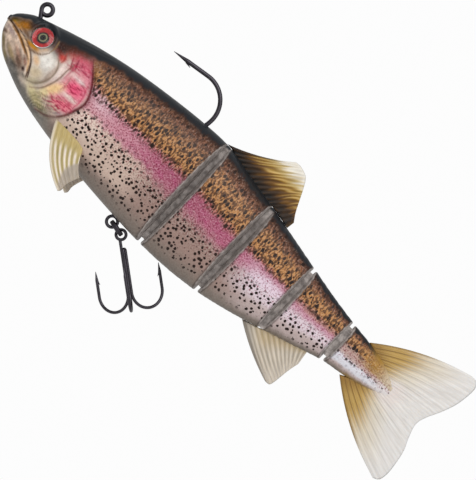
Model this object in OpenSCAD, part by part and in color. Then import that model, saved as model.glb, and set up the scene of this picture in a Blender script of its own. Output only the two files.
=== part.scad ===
// Jointed soft swimbait with an internal jig hook and a treble under the belly.
// The origin is the centre of the line-tie eye, +X runs to the tail and +Z to the back.

/* [Body] */
// Length of the lure from the nose to the tips of the tail fin
lure_length = 180; // [120:1:230]
// Height scale of the body, close to its depth at the first joint
body_height = 40; // [30:1:52]
// Widest width of the body, behind the gill covers
body_width = 21; // [16:0.5:28]
// Fullness of the cross-section, from a diamond to a rounded box
section_fullness = 0.86; // [0.7:0.01:1]
// Gap left around anything that is moulded into or seated in the soft plastic
seat_gap = 0.05; // [0.03:0.01:0.12]

/* [Joints] */
// Thickness across the body of the web that carries each joint
web_thickness = 3; // [2:0.1:4]
// Length of the web between two sections on the centre plane
web_length = 1; // [0.8:0.1:1.6]
// How far the web stops short of the back and of the belly
web_inset = 1.8; // [1:0.1:3]
// Slant of the faces of joints 1 and 2, in degrees
front_groove_slant = 10; // [8:0.5:14]
// Slant of the faces of joint 3, in degrees
third_groove_slant = 11; // [8:0.5:16]
// Slant of the faces of joint 4, in degrees
tail_groove_slant = 15; // [10:0.5:20]
// Thickness of the woven strip inside each joint
tendon_thickness = 0.5; // [0.3:0.1:0.8]
// Reach of the woven strip into each section
tendon_reach = 6; // [3:0.5:8]

/* [Jig hook] */
// Wire of the jig hook
jig_wire = 1.4; // [1:0.1:1.8]
// Hole of the line-tie eye
line_eye_hole = 2.1; // [1.8:0.1:3]
// Slant of the hook's front leg below the level, in degrees
leg_slant = 55; // [45:1:65]
// Slope of the hook's long shank, in degrees
shank_slope = 10; // [4:0.5:12]
// Radius of the lower half of the bend
lower_bend_radius = 11; // [9:0.5:13]
// Radius of the upper half of the bend
upper_bend_radius = 8.8; // [7:0.1:11]
// Height of the middle of the bend above the back
bend_rise = 2.4; // [1:0.1:5]
// Distance from the rear of the bend to the first joint
bend_setback = 9.4; // [7:0.1:14]
// Length of the straight spear that ends in the hook's point
spear_length = 12.8; // [9:0.1:16]
// Slope of the spear down towards its point, in degrees
spear_slope = 7.5; // [0:0.5:14]

/* [Weight and belly wire] */
// Length of the lead cast on the shank
weight_length = 28; // [16:1:34]
// Widest diameter of the lead
weight_diameter = 11; // [7:0.5:12]
// Wire that runs from the shank to the belly
belly_wire = 1; // [0.8:0.1:1.3]
// Hole of the loop under the belly
hanger_hole = 2.4; // [2.2:0.1:3]
// Distance of the loop in front of the first joint
hanger_setback = 10.2; // [7:0.1:14]
// Drop of the loop's centre below the belly
hanger_drop = 1.6; // [1.5:0.1:2.2]

/* [Split ring and treble] */
// Wire of the split ring, which has two turns
ring_wire = 0.7; // [0.5:0.05:0.75]
// Diameter of the split ring at the middle of its wire
ring_diameter = 4.8; // [4.6:0.1:6.4]
// Droop of the split ring behind the loop, in degrees
ring_droop = 12; // [11:1:30]
// Droop of the treble behind the ring, in degrees
treble_droop = 38; // [37:1:60]
// Wire of the treble hook
treble_wire = 0.95; // [0.8:0.05:1.05]
// Hole of the treble's eye
treble_eye_hole = 2.1; // [2.05:0.05:2.3]
// Distance from the treble's eye to the start of its bends
treble_shank = 17.9; // [15:0.1:20]
// Distance of each point of the treble from its shank
treble_gape = 11.2; // [8:0.1:12]
// Length of each point of the treble above its bend
treble_point = 7.9; // [6:0.1:9]

/* [Eyes] */
// Diameter of the eye lens
eye_diameter = 6.9; // [5:0.1:8]
// Distance of the eye behind the line-tie eye
eye_setback = 5.7; // [4:0.1:8]
// Drop of the eye below the line-tie eye
eye_drop = 6.9; // [6:0.1:9]
// Depth of the eye socket
socket_depth = 1.4; // [1:0.1:1.8]

/* [Fins] */
// Height of the dorsal fin above the back
dorsal_height = 14; // [9:0.5:18]
// Thickness of the dorsal and anal fins
fin_thickness = 1.6; // [1:0.1:2.2]
// Depth to which a fin's root is set into the body
root_depth = 1.5; // [1:0.1:2.5]
// Height of the anal fin below the body
anal_height = 10; // [6:0.5:14]
// Thickness of the tail fin
tail_fin_thickness = 1.2; // [0.8:0.1:2]
// Height of the tail fin from tip to tip
tail_fin_height = 42.5; // [30:0.5:54]
// Length of each pectoral fin below its root
pectoral_length = 15.4; // [10:0.5:18]
// Thickness of each pectoral fin
pectoral_thickness = 1.2; // [0.9:0.1:1.6]
// Splay of each pectoral fin away from the flank, in degrees
pectoral_splay = 14; // [8:1:30]

/* [Hidden] */

LEFT = -1;
RIGHT = 1;
PLASTIC_BACK = "#3a3f47";
PLASTIC_FLANK = "#b89a8c";
WEB_GREY = "#8a8d88";
FIN_GOLD = "#a37a2c";
FIN_OLIVE = "#b9ae62";
FIN_CREAM = "#cfc4ac";
BLACK_NICKEL = "#4a4a50";
LEAD_GREY = "#77797c";

// Body outline. Columns: distance behind the line tie in percent of lure_length, then
// back and belly heights in percent of body_height, then half width in percent of body_width.
STATIONS = [
    [-3.7, -21, -26, 6],
    [-3.2, -17.5, -33, 14],
    [-2.2, -13.5, -39.5, 21],
    [-0.6, -9, -46.5, 28],
    [2.2, -5, -53, 36],
    [6.1, 0.5, -60, 43],
    [11.1, 6.5, -66, 48],
    [17.8, 12.5, -71.5, 50],
    [25, 16.7, -75.5, 50],
    [32.2, 19.5, -78.5, 49],
    [38.1, 19.7, -80, 46.5],
    [44.4, 14.2, -79.7, 43.5],
    [50.6, 8.8, -77, 39],
    [56.7, 3, -71.5, 33],
    [62.8, -3, -64, 26.5],
    [68.3, -8.2, -57, 21],
    [73.9, -12.5, -49.5, 16],
    [78, -15, -46.5, 12],
    [82, -18.5, -43, 8],
    [86, -26, -37, 3]
];
// Height of the widest point, as a share of the way from the belly to the back
WIDEST = 0.55;
// Places of the joints, in percent of lure_length
JOINT_PLACES = [38.1, 50.6, 62.8, 73.9];
RING_POINTS = 28;
RING_STEP = 3.2;

kx = lure_length / 100;
kz = body_height / 100;
ky = body_width / 100;
joint_x = [for (p = JOINT_PLACES) p * kx];
slants = [front_groove_slant, front_groove_slant, third_groove_slant, tail_groove_slant];
nose_x = STATIONS[0][0] * kx;
peduncle_x = STATIONS[len(STATIONS) - 1][0] * kx;
tail_tip_x = nose_x + lure_length;

// Smooth curve through one column of the stations, at a place in percent of the length
function span(p, i = 0) = i >= len(STATIONS) - 2 || p < STATIONS[i + 1][0] ? i : span(p, i + 1);
function slope(i, c) =
    let (a = max(i - 1, 0), b = min(i + 1, len(STATIONS) - 1))
    (STATIONS[b][c] - STATIONS[a][c]) / (STATIONS[b][0] - STATIONS[a][0]);
function column(p, c) =
    let (i = span(p), a = STATIONS[i], b = STATIONS[i + 1], h = b[0] - a[0], t = (p - a[0]) / h)
    a[c] * (2 * t * t * t - 3 * t * t + 1) + b[c] * (3 * t * t - 2 * t * t * t)
    + h * slope(i, c) * (t * t * t - 2 * t * t + t) + h * slope(i + 1, c) * (t * t * t - t * t);
function back_z(x) = column(x / kx, 1) * kz;
function belly_z(x) = column(x / kx, 2) * kz;
function half_width(x) = column(x / kx, 3) * ky;
function widest_z(x) = belly_z(x) + WIDEST * (back_z(x) - belly_z(x));

// One ring of the body's skin, and the half width of the skin at a given height
function rounded(v) = sign(v) * pow(abs(v), section_fullness);
function ring(x) =
    let (m = widest_z(x), up = back_z(x) - m, down = m - belly_z(x), w = half_width(x))
    [for (i = [0 : RING_POINTS - 1])
        let (a = 360 * i / RING_POINTS, s = sin(a))
        [x, w * rounded(cos(a)), m + rounded(s) * (s > 0 ? up : down)]];
function skin_y(x, z) =
    let (m = widest_z(x), reach = z > m ? back_z(x) - m : m - belly_z(x), e = 2 / section_fullness)
    half_width(x) * pow(1 - pow(min(abs(z - m) / reach, 1), e), 1 / e);
function skin_normal(x, z, side) =
    let (d = 0.2, nx = (skin_y(x - d, z) - skin_y(x + d, z)) / (2 * d),
         nz = (skin_y(x, z - d) - skin_y(x, z + d)) / (2 * d), size = norm([nx, 1, nz]))
    [nx / size, side / size, nz / size];

// Solid skin between two places along the body
module skin(from, to) {
    steps = max(2, ceil((to - from) / RING_STEP));
    xs = [for (i = [0 : steps]) from + (to - from) * i / steps];
    rings = [for (x = xs) ring(x)];
    points = [for (r = rings) each r];
    n = RING_POINTS;
    sides = [for (i = [0 : steps - 1], j = [0 : n - 1])
        let (a = i * n + j, b = i * n + (j + 1) % n)
        each [[a, a + n, b], [b, a + n, b + n]]];
    front = [for (j = [0 : n - 1]) j];
    rear = [for (j = [n - 1 : -1 : 0]) steps * n + j];
    polyhedron(points = points, faces = concat(sides, [front, rear]));
}

// Nose of the skin, with rings at the stations themselves because it swells so fast
NOSE_STATIONS = 5;
module nose_skin() {
    xs = [for (i = [0 : NOSE_STATIONS - 1]) STATIONS[i][0] * kx];
    rings = [for (x = xs) ring(x)];
    n = RING_POINTS;
    last = len(xs) - 1;
    sides = [for (i = [0 : last - 1], j = [0 : n - 1])
        let (a = i * n + j, b = i * n + (j + 1) % n)
        each [[a, a + n, b], [b, a + n, b + n]]];
    front = [for (j = [0 : n - 1]) j];
    rear = [for (j = [n - 1 : -1 : 0]) last * n + j];
    polyhedron(points = [for (r = rings) each r], faces = concat(sides, [front, rear]));
}

// Joints: the V grooves on both flanks, the web between them and the woven strip
function joint_top(i) = back_z(joint_x[i]) - web_inset;
function joint_bottom(i) = belly_z(joint_x[i]) + web_inset;
module groove_outline(i, reach) {
    half = web_length / 2;
    flare = half + reach * tan(slants[i]);
    polygon([
        [-half, 0], [-flare, reach], [flare, reach],
        [half, 0], [flare, -reach], [-flare, -reach]
    ]);
}
module groove(i) {
    height = 2 * body_height;
    translate([joint_x[i], 0, -height]) linear_extrude(2 * height) groove_outline(i, body_width);
}
module tendon_strip(i, gap) {
    top = joint_top(i) - web_inset;
    bottom = joint_bottom(i) + web_inset;
    translate([joint_x[i] - tendon_reach - gap, -tendon_thickness / 2 - gap, bottom - gap])
        cube([2 * (tendon_reach + gap), tendon_thickness + 2 * gap, top - bottom + 2 * gap]);
}
module web(i) {
    difference() {
        translate([joint_x[i], 0, joint_bottom(i)])
            linear_extrude(joint_top(i) - joint_bottom(i)) groove_outline(i, web_thickness / 2);
        tendon_strip(i, seat_gap);
    }
}

// A round wire between two points of the centre plane, given as [x, z]
module straight_wire(a, b, d, end_d = undef) {
    run = b - a;
    translate([a.x, 0, a.y]) rotate([0, 90 - atan2(run.y, run.x), 0])
        cylinder(h = norm(run), d1 = d, d2 = is_undef(end_d) ? d : end_d, $fn = 32);
}
// A bend of wire in the centre plane, from one angle to another about [x, z]
module bent_wire(centre, radius, from, to, d) {
    translate([centre.x, 0, centre.y]) rotate([90, 0, 0]) rotate([0, 0, from])
        rotate_extrude(angle = to - from, $fn = 96) translate([radius, 0]) circle(d = d, $fn = 32);
}
// A closed loop of wire in the centre plane
module wire_loop(centre, radius, d) {
    translate([centre.x, 0, centre.y]) rotate([90, 0, 0])
        rotate_extrude($fn = 96) translate([radius, 0]) circle(d = d, $fn = 32);
}

// Wires in a chain stop just short of each other, and a ball a hair wider than the wire joins them
JOIN_GAP = 0.05;
JOIN_SWELL = 1.03;
function pulled(a, b) = a + (b - a) / norm(b - a) * JOIN_GAP;
function trim_angle(radius) = JOIN_GAP / radius * 180 / PI;
module chain_straight(a, b, d) straight_wire(pulled(a, b), pulled(b, a), d);
module chain_bend(centre, radius, from, to, d)
    bent_wire(centre, radius, from + trim_angle(radius), to - trim_angle(radius), d);
module wire_join(p, d) translate([p.x, 0, p.y]) sphere(d = d * JOIN_SWELL, $fn = 32);

// Jig hook, laid out in the centre plane as [x, z]
EYE_LAND = 0.05;
EYE_SWEEP = 320;
ELBOW_RADIUS = 2.5;
SPEAR_TAPER = 5;
BARB_LENGTH = 2;
POINT_DIAMETER = 0.15;
line_eye_radius = (line_eye_hole + jig_wire) / 2 - EYE_LAND;
bend_rear_x = joint_x[0] - bend_setback;
bend_z = back_z(bend_rear_x) + bend_rise;
lower_centre = [bend_rear_x - lower_bend_radius, bend_z];
upper_centre = [bend_rear_x - upper_bend_radius, bend_z];
shank_way = [cos(shank_slope), sin(shank_slope)];
leg_way = [cos(leg_slant), -sin(leg_slant)];
leg_heading = 270 - leg_slant;
leg_start = line_eye_radius * [cos(leg_heading), sin(leg_heading)];
shank_end = lower_centre + lower_bend_radius * [sin(shank_slope), -cos(shank_slope)];
// Where the lines of the leg and the shank cross, and the elbow that rounds the corner
elbow = leg_start + leg_way * cross(shank_end - leg_start, shank_way) / cross(leg_way, shank_way);
elbow_turn = leg_slant + shank_slope;
elbow_trim = ELBOW_RADIUS * tan(elbow_turn / 2);
leg_end = elbow - leg_way * elbow_trim;
shank_start = elbow + shank_way * elbow_trim;
elbow_centre = shank_start + ELBOW_RADIUS * [-shank_way.y, shank_way.x];
bend_top_angle = 90 + spear_slope;
spear_start = upper_centre + upper_bend_radius * [cos(bend_top_angle), sin(bend_top_angle)];
spear_way = [-cos(spear_slope), -sin(spear_slope)];
taper_start = spear_start + spear_way * (spear_length - SPEAR_TAPER);
spear_tip = spear_start + spear_way * spear_length;

module jig_hook_wire(gap) {
    d = jig_wire + 2 * gap;
    straight_wire(leg_start, pulled(leg_end, leg_start), d);
    chain_bend(elbow_centre, ELBOW_RADIUS, leg_heading, 270 + shank_slope, d);
    chain_straight(shank_start, shank_end, d);
    chain_bend(lower_centre, lower_bend_radius, shank_slope - 90, 0, d);
    chain_bend(upper_centre, upper_bend_radius, 0, bend_top_angle, d);
    for (p = [leg_end, shank_start, shank_end, [bend_rear_x, bend_z], spear_start]) wire_join(p, d);
}
module spear() {
    straight = spear_length - SPEAR_TAPER - JOIN_GAP;
    at = pulled(spear_start, spear_tip);
    translate([at.x, 0, at.y]) rotate([0, -90 - spear_slope, 0]) rotate_extrude($fn = 32)
        polygon([[0, 0], [jig_wire / 2, 0], [jig_wire / 2, straight],
                 [POINT_DIAMETER / 2, straight + SPEAR_TAPER], [0, straight + SPEAR_TAPER]]);
}
module barb(root, way, spread, length, d) {
    heading = atan2(way.y, way.x) + spread;
    tip = root + length * [cos(heading), sin(heading)];
    straight_wire(root, tip, d, POINT_DIAMETER);
}

// Lead weight, a teardrop on the shank with its bulk towards the head
WEIGHT_LEAD_IN = 2;
WEIGHT_STEP = 12;
TEARDROP_PEAK = 1.299;
WEIGHT_LIP = 0.8;
function teardrop_radius(a) = weight_diameter / 2 * sin(a) * (1 + cos(a)) / TEARDROP_PEAK;
module weight_body(gap) {
    bore = jig_wire / 2 + seat_gap;
    at = shank_start + shank_way * WEIGHT_LEAD_IN;
    translate([at.x, 0, at.y]) rotate([0, 90 - shank_slope, 0])
        rotate_extrude($fn = 64) polygon(concat(
            [[gap > 0 ? 0 : bore, -gap]],
            [for (a = [0 : WEIGHT_STEP : 180])
                [max(bore + WEIGHT_LIP, teardrop_radius(a)) + gap,
                 weight_length / 2 * (1 - cos(a)) + (a == 0 ? -gap : a == 180 ? gap : 0)]],
            [[gap > 0 ? 0 : bore, weight_length + gap]]));
}

// Belly wire: a loop round the shank behind the lead, a slanting leg and the hanger loop
LOOP_BEHIND_WEIGHT = 5;
hanger = [joint_x[0] - hanger_setback, belly_z(joint_x[0] - hanger_setback) - hanger_drop];
hanger_radius = (hanger_hole + belly_wire) / 2;
collar_radius = jig_wire / 2 + seat_gap + belly_wire / 2;
collar = shank_start + shank_way * (WEIGHT_LEAD_IN + weight_length + LOOP_BEHIND_WEIGHT);
wire_top = collar + collar_radius * [shank_way.y, -shank_way.x];
wire_run = hanger - wire_top;
wire_bottom = hanger - wire_run / norm(wire_run) * hanger_radius;
module belly_wire_form(gap) {
    d = belly_wire + 2 * gap;
    translate([collar.x, 0, collar.y]) rotate([0, 90 - shank_slope, 0])
        rotate_extrude($fn = 64) translate([collar_radius, 0]) circle(d = d, $fn = 32);
    straight_wire(wire_top, wire_bottom, d);
    wire_loop(hanger, hanger_radius, d);
}

// Places of the split ring and the treble behind the hanger loop
ring_way = [cos(ring_droop), -sin(ring_droop)];
treble_eye = hanger + ring_way * ring_diameter;
module on_treble() {
    translate([treble_eye.x, 0, treble_eye.y]) rotate([0, 90 + treble_droop, 0]) children();
}

// Treble: three wires side by side along the local Z axis, each bent out and back
WIRE_SPREAD = 0.68;
EYED_OVERLAP = 0.2;
DOUBLE_TOP = 5;
TREBLE_BARB_PLACE = 2.8;
TREBLE_BARB_LENGTH = 1.5;
TREBLE_BARB_TILT = 24;
TREBLE_BARB_INSET = 0.3;
TREBLE_TIP = 2.6;
EYED_ANGLE = 30;
DOUBLE_ANGLES = [150, 270];
wire_offset = WIRE_SPREAD * treble_wire;
bend_radius = (treble_gape - wire_offset) / 2;
module treble_arm(angle, from) {
    point_x = wire_offset + 2 * bend_radius;
    rotate([0, 0, angle]) {
        translate([wire_offset, 0, from]) cylinder(h = treble_shank - from, d = treble_wire, $fn = 32);
        translate([wire_offset + bend_radius, 0, treble_shank]) rotate([90, 0, 180])
            rotate_extrude(angle = 180, $fn = 96) translate([bend_radius, 0]) circle(d = treble_wire, $fn = 32);
        translate([point_x, 0, treble_shank - treble_point + TREBLE_TIP])
            cylinder(h = treble_point - TREBLE_TIP, d = treble_wire, $fn = 32);
        translate([point_x, 0, treble_shank - treble_point])
            cylinder(h = TREBLE_TIP, d1 = POINT_DIAMETER, d2 = treble_wire, $fn = 32);
        translate([point_x - TREBLE_BARB_INSET * treble_wire, 0, treble_shank - treble_point + TREBLE_BARB_PLACE])
            rotate([0, -TREBLE_BARB_TILT, 0])
            cylinder(h = TREBLE_BARB_LENGTH, d1 = treble_wire / 2, d2 = POINT_DIAMETER, $fn = 24);
    }
}

// Eye seat: the local Z axis points out of the socket, with its floor at zero
FOIL_THICKNESS = 0.25;
LENS_RIM = 0.35;
LENS_RISE = 0.8;
module at_eye(side) {
    out = skin_normal(eye_setback, -eye_drop, side);
    place = [eye_setback, side * skin_y(eye_setback, -eye_drop), -eye_drop] - socket_depth * out;
    translate(place) rotate([0, acos(out.z), atan2(out.y, out.x)]) children();
}
module socket(side) {
    at_eye(side) cylinder(h = 3 * socket_depth, d = eye_diameter + 2 * seat_gap, $fn = 64);
}
module foil(side) {
    at_eye(side) translate([0, 0, seat_gap])
        cylinder(h = FOIL_THICKNESS, d = eye_diameter - 2 * LENS_RIM, $fn = 64);
}
module lens(side) {
    wall = socket_depth - FOIL_THICKNESS - 2 * seat_gap;
    dome = (eye_diameter * eye_diameter / 4 + LENS_RISE * LENS_RISE) / (2 * LENS_RISE);
    at_eye(side) translate([0, 0, FOIL_THICKNESS + 2 * seat_gap]) {
        cylinder(h = wall, d = eye_diameter, $fn = 64);
        intersection() {
            translate([0, 0, wall - dome + LENS_RISE]) sphere(r = dome, $fn = 96);
            translate([0, 0, wall / 2]) cylinder(h = wall, d = eye_diameter, $fn = 64);
        }
    }
}

// Fins are plates in the centre plane, set root_depth into slots of the same outline
module upright_plate(outline, thickness) {
    translate([0, thickness / 2, 0]) rotate([90, 0, 0]) linear_extrude(thickness) polygon(outline);
}
// Gap that a fin keeps from the section it reaches over but isn't fixed to
OVERHANG_GAP = 0.4;
// Distance that a fin's root keeps from the joints at the ends of its section
ROOT_GAP = 3;
// Outward bulge of a fin's edges
FIN_BULGE = 0.6;
FIN_REAR_BULGE = 0.5;
DORSAL_REACH = 7;
DORSAL_RUN = 16.5;
DORSAL_CORNER = [4.5, -2];
dorsal_front = joint_x[0] + ROOT_GAP;
dorsal_root_end = joint_x[1] - ROOT_GAP;
dorsal_rear = joint_x[1] + DORSAL_REACH;
function arc_points(from, to, bulge, steps = 8) =
    let (run = to - from, out = [-run.y, run.x] / norm(run))
    [for (i = [0 : steps]) from + run * i / steps + out * bulge * sin(180 * i / steps)];
dorsal_peak = [dorsal_front + DORSAL_RUN, back_z(dorsal_front + DORSAL_RUN) + dorsal_height];
dorsal_tail = [dorsal_rear - 0.5, back_z(dorsal_rear) + OVERHANG_GAP];
dorsal_outline = concat(
    [[dorsal_front, back_z(dorsal_front) - root_depth]],
    arc_points([dorsal_front, back_z(dorsal_front) + 0.5], dorsal_peak, FIN_BULGE),
    arc_points(dorsal_peak, dorsal_peak + DORSAL_CORNER, FIN_REAR_BULGE, 4),
    arc_points(dorsal_peak + DORSAL_CORNER, dorsal_tail, FIN_REAR_BULGE),
    [for (x = [dorsal_rear - 1 : -2 : dorsal_root_end]) [x, back_z(x) + OVERHANG_GAP]],
    [[dorsal_root_end, back_z(dorsal_root_end) - root_depth]]
);
ANAL_REACH = 5;
ANAL_REAR_GAP = 4.8;
ANAL_TIP_SWEEP = [-1.3, -3.5];
ANAL_FRONT_CORNER = [3, -3];
anal_front = joint_x[2] - ANAL_REACH;
anal_root_front = joint_x[2] + ROOT_GAP;
anal_rear = joint_x[3] - ANAL_REAR_GAP;
anal_tip = [anal_rear, belly_z(anal_rear) - anal_height] + ANAL_TIP_SWEEP;
anal_outline = concat(
    [for (x = [anal_front : 2 : anal_root_front]) [x, belly_z(x) - OVERHANG_GAP]],
    [[anal_root_front, belly_z(anal_root_front) + root_depth]],
    [[anal_rear, belly_z(anal_rear) + root_depth]],
    arc_points([anal_rear + 0.5, belly_z(anal_rear) - 2], anal_tip, -FIN_BULGE, 6),
    arc_points(anal_tip, [anal_front, belly_z(anal_front)] + ANAL_FRONT_CORNER, -FIN_BULGE)
);
CAUDAL_ROOT_SETBACK = 11;
CAUDAL_UPPER_SHARE = 0.49;
CAUDAL_FORK = [-6, -1.5];
CAUDAL_BULGE = 1.6;
CAUDAL_TOP_BULGE = 1.8;
// Upper and lower corners of the tail's edge, measured from its tips
CAUDAL_TOP_CORNER = [2, 3];
CAUDAL_LOW_CORNER = [4, 1.6, 1.5];
// Start of the tail's edges ahead of its root
CAUDAL_EDGE_LEAD = 3;
caudal_root_x = joint_x[3] + CAUDAL_ROOT_SETBACK;
caudal_middle_z = (back_z(caudal_root_x) + belly_z(caudal_root_x)) / 2;
caudal_top = caudal_middle_z + CAUDAL_UPPER_SHARE * tail_fin_height;
caudal_bottom = caudal_top - tail_fin_height;
caudal_fork = [tail_tip_x, caudal_middle_z] + CAUDAL_FORK;
caudal_outline = concat(
    [[caudal_root_x, back_z(caudal_root_x) - root_depth], [caudal_root_x, belly_z(caudal_root_x) + root_depth]],
    arc_points([caudal_root_x - CAUDAL_EDGE_LEAD, belly_z(caudal_root_x) - 0.5],
        [tail_tip_x - CAUDAL_LOW_CORNER[0], caudal_bottom], -CAUDAL_BULGE),
    arc_points([tail_tip_x - CAUDAL_LOW_CORNER[1], caudal_bottom + CAUDAL_LOW_CORNER[2]], caudal_fork, -CAUDAL_BULGE),
    arc_points(caudal_fork, [tail_tip_x, caudal_top - CAUDAL_TOP_CORNER[1]], -CAUDAL_BULGE),
    arc_points([tail_tip_x - CAUDAL_TOP_CORNER[0], caudal_top],
        [caudal_root_x - CAUDAL_EDGE_LEAD, back_z(caudal_root_x) + 1], -CAUDAL_TOP_BULGE)
);

// Pectoral plate in its own plane, hung from the flank and splayed outwards
PECTORAL_FRONT = 14.4;
PECTORAL_CHORD = 12;
PECTORAL_DEPTH = 57;
PECTORAL_BULGE = 0.8;
PECTORAL_SET_IN = 0.2;
pectoral_x = PECTORAL_FRONT * kx;
pectoral_z = -PECTORAL_DEPTH * kz;
pectoral_outline = concat(
    [[0, root_depth], [PECTORAL_CHORD, root_depth]],
    arc_points([PECTORAL_CHORD, 0], [PECTORAL_CHORD + 3.5, -pectoral_length + 2], PECTORAL_BULGE),
    arc_points([PECTORAL_CHORD + 3, -pectoral_length], [0, -2], -PECTORAL_BULGE)
);
module pectoral_plate(side, gap) {
    middle = pectoral_x + PECTORAL_CHORD / 2;
    translate([pectoral_x, side * (skin_y(middle, pectoral_z) - PECTORAL_SET_IN), pectoral_z])
        rotate([side * pectoral_splay, 0, 0])
        upright_plate(pectoral_outline, pectoral_thickness + 2 * gap);
}

// Modules of the named pieces
module head_section() color(PLASTIC_FLANK) difference() {
    union() {
        nose_skin();
        skin(STATIONS[NOSE_STATIONS - 1][0] * kx, joint_x[0]);
    }
    groove(0);
    tendon_strip(0, seat_gap);
    jig_hook_wire(seat_gap);
    weight_body(seat_gap);
    belly_wire_form(seat_gap);
    for (side = [LEFT, RIGHT]) {
        socket(side);
        pectoral_plate(side, seat_gap);
    }
}
module body_section_2() color(PLASTIC_BACK) difference() {
    skin(joint_x[0], joint_x[1]);
    for (i = [0, 1]) {
        groove(i);
        tendon_strip(i, seat_gap);
    }
    upright_plate(dorsal_outline, fin_thickness + 2 * seat_gap);
}
module body_section_3() color(PLASTIC_FLANK) difference() {
    skin(joint_x[1], joint_x[2]);
    for (i = [1, 2]) {
        groove(i);
        tendon_strip(i, seat_gap);
    }
}
module body_section_4() color(PLASTIC_BACK) difference() {
    skin(joint_x[2], joint_x[3]);
    for (i = [2, 3]) {
        groove(i);
        tendon_strip(i, seat_gap);
    }
    upright_plate(anal_outline, fin_thickness + 2 * seat_gap);
}
module tail_section() color(PLASTIC_FLANK) difference() {
    skin(joint_x[3], peduncle_x);
    groove(3);
    tendon_strip(3, seat_gap);
    upright_plate(caudal_outline, tail_fin_thickness + 2 * seat_gap);
}
module joint_web_1() color(WEB_GREY) web(0);
module joint_web_2() color(WEB_GREY) web(1);
module joint_web_3() color(WEB_GREY) web(2);
module joint_web_4() color(WEB_GREY) web(3);
module mesh_tendon_1() color("dimgray") tendon_strip(0, 0);
module mesh_tendon_2() color("dimgray") tendon_strip(1, 0);
module mesh_tendon_3() color("dimgray") tendon_strip(2, 0);
module mesh_tendon_4() color("dimgray") tendon_strip(3, 0);
module dorsal_fin() color(FIN_GOLD) upright_plate(dorsal_outline, fin_thickness);
module anal_fin() color(FIN_CREAM) upright_plate(anal_outline, fin_thickness);
module caudal_fin() color(FIN_CREAM) upright_plate(caudal_outline, tail_fin_thickness);
module pectoral_fin_left() color(FIN_OLIVE) pectoral_plate(LEFT, 0);
module pectoral_fin_right() color(FIN_OLIVE) pectoral_plate(RIGHT, 0);
module eye_foil_left() color("crimson") foil(LEFT);
module eye_foil_right() color("crimson") foil(RIGHT);
module eye_lens_left() color("white") lens(LEFT);
module eye_lens_right() color("white") lens(RIGHT);
module jig_hook() color(BLACK_NICKEL) {
    difference() {
        union() {
            bent_wire([0, 0], line_eye_radius, leg_heading - EYE_SWEEP, leg_heading, jig_wire);
            jig_hook_wire(0);
        }
        rotate([90, 0, 0]) cylinder(h = 2 * jig_wire, d = line_eye_hole, center = true, $fn = 64);
    }
    spear();
    barb(taper_start + 0.3 * jig_wire * [0, -1], -spear_way, -22, BARB_LENGTH, 0.6 * jig_wire);
}
module head_weight() color(LEAD_GREY) weight_body(0);
module belly_wire() color(BLACK_NICKEL) belly_wire_form(0);
module split_ring() color(BLACK_NICKEL)
    translate([hanger.x, 0, hanger.y]) rotate([0, ring_droop, 0]) translate([ring_diameter / 2, 0, 0])
        rotate_extrude($fn = 96) translate([ring_diameter / 2, 0]) {
            for (turn = [-1, 1]) translate([0, turn * ring_wire / 2]) circle(d = ring_wire, $fn = 32);
            square([ring_wire, ring_wire], center = true);
        }
module treble_eyed_hook() color(BLACK_NICKEL) on_treble() {
    eye_radius = (treble_eye_hole + treble_wire) / 2;
    rotate([90, 0, 0]) rotate_extrude($fn = 96) translate([eye_radius, 0])
        circle(d = treble_wire, $fn = 32);
    treble_arm(EYED_ANGLE, eye_radius - EYED_OVERLAP);
}
module treble_double_hook() color(BLACK_NICKEL) on_treble() {
    middle_angle = (DOUBLE_ANGLES[0] + DOUBLE_ANGLES[1]) / 2;
    half_angle = (DOUBLE_ANGLES[1] - DOUBLE_ANGLES[0]) / 2;
    for (angle = DOUBLE_ANGLES) treble_arm(angle, DOUBLE_TOP + JOIN_GAP);
    u_radius = wire_offset * sin(half_angle);
    u_trim = trim_angle(u_radius);
    for (angle = DOUBLE_ANGLES) rotate([0, 0, angle]) translate([wire_offset, 0, DOUBLE_TOP])
        sphere(d = treble_wire * JOIN_SWELL, $fn = 32);
    rotate([0, 0, middle_angle]) translate([wire_offset * cos(half_angle), 0, DOUBLE_TOP])
        rotate([90, 0, 90]) rotate([0, 0, 180 + u_trim])
        rotate_extrude(angle = 180 - 2 * u_trim, $fn = 48)
        translate([u_radius, 0]) circle(d = treble_wire, $fn = 32);
}

head_section();
body_section_2();
body_section_3();
body_section_4();
tail_section();
joint_web_1();
joint_web_2();
joint_web_3();
joint_web_4();
mesh_tendon_1();
mesh_tendon_2();
mesh_tendon_3();
mesh_tendon_4();
dorsal_fin();
anal_fin();
caudal_fin();
pectoral_fin_left();
pectoral_fin_right();
eye_foil_left();
eye_foil_right();
eye_lens_left();
eye_lens_right();
jig_hook();
head_weight();
belly_wire();
split_ring();
treble_eyed_hook();
treble_double_hook();
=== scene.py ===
"""Jointed soft swimbait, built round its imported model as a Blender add-on.

Lengths in this file are millimetres unless a property says otherwise. The origin is the centre
of the line-tie eye, +X runs to the tail and +Z to the back.
"""

import math

import bmesh
import bpy
import numpy as np
from mathutils import Matrix, Vector


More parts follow.
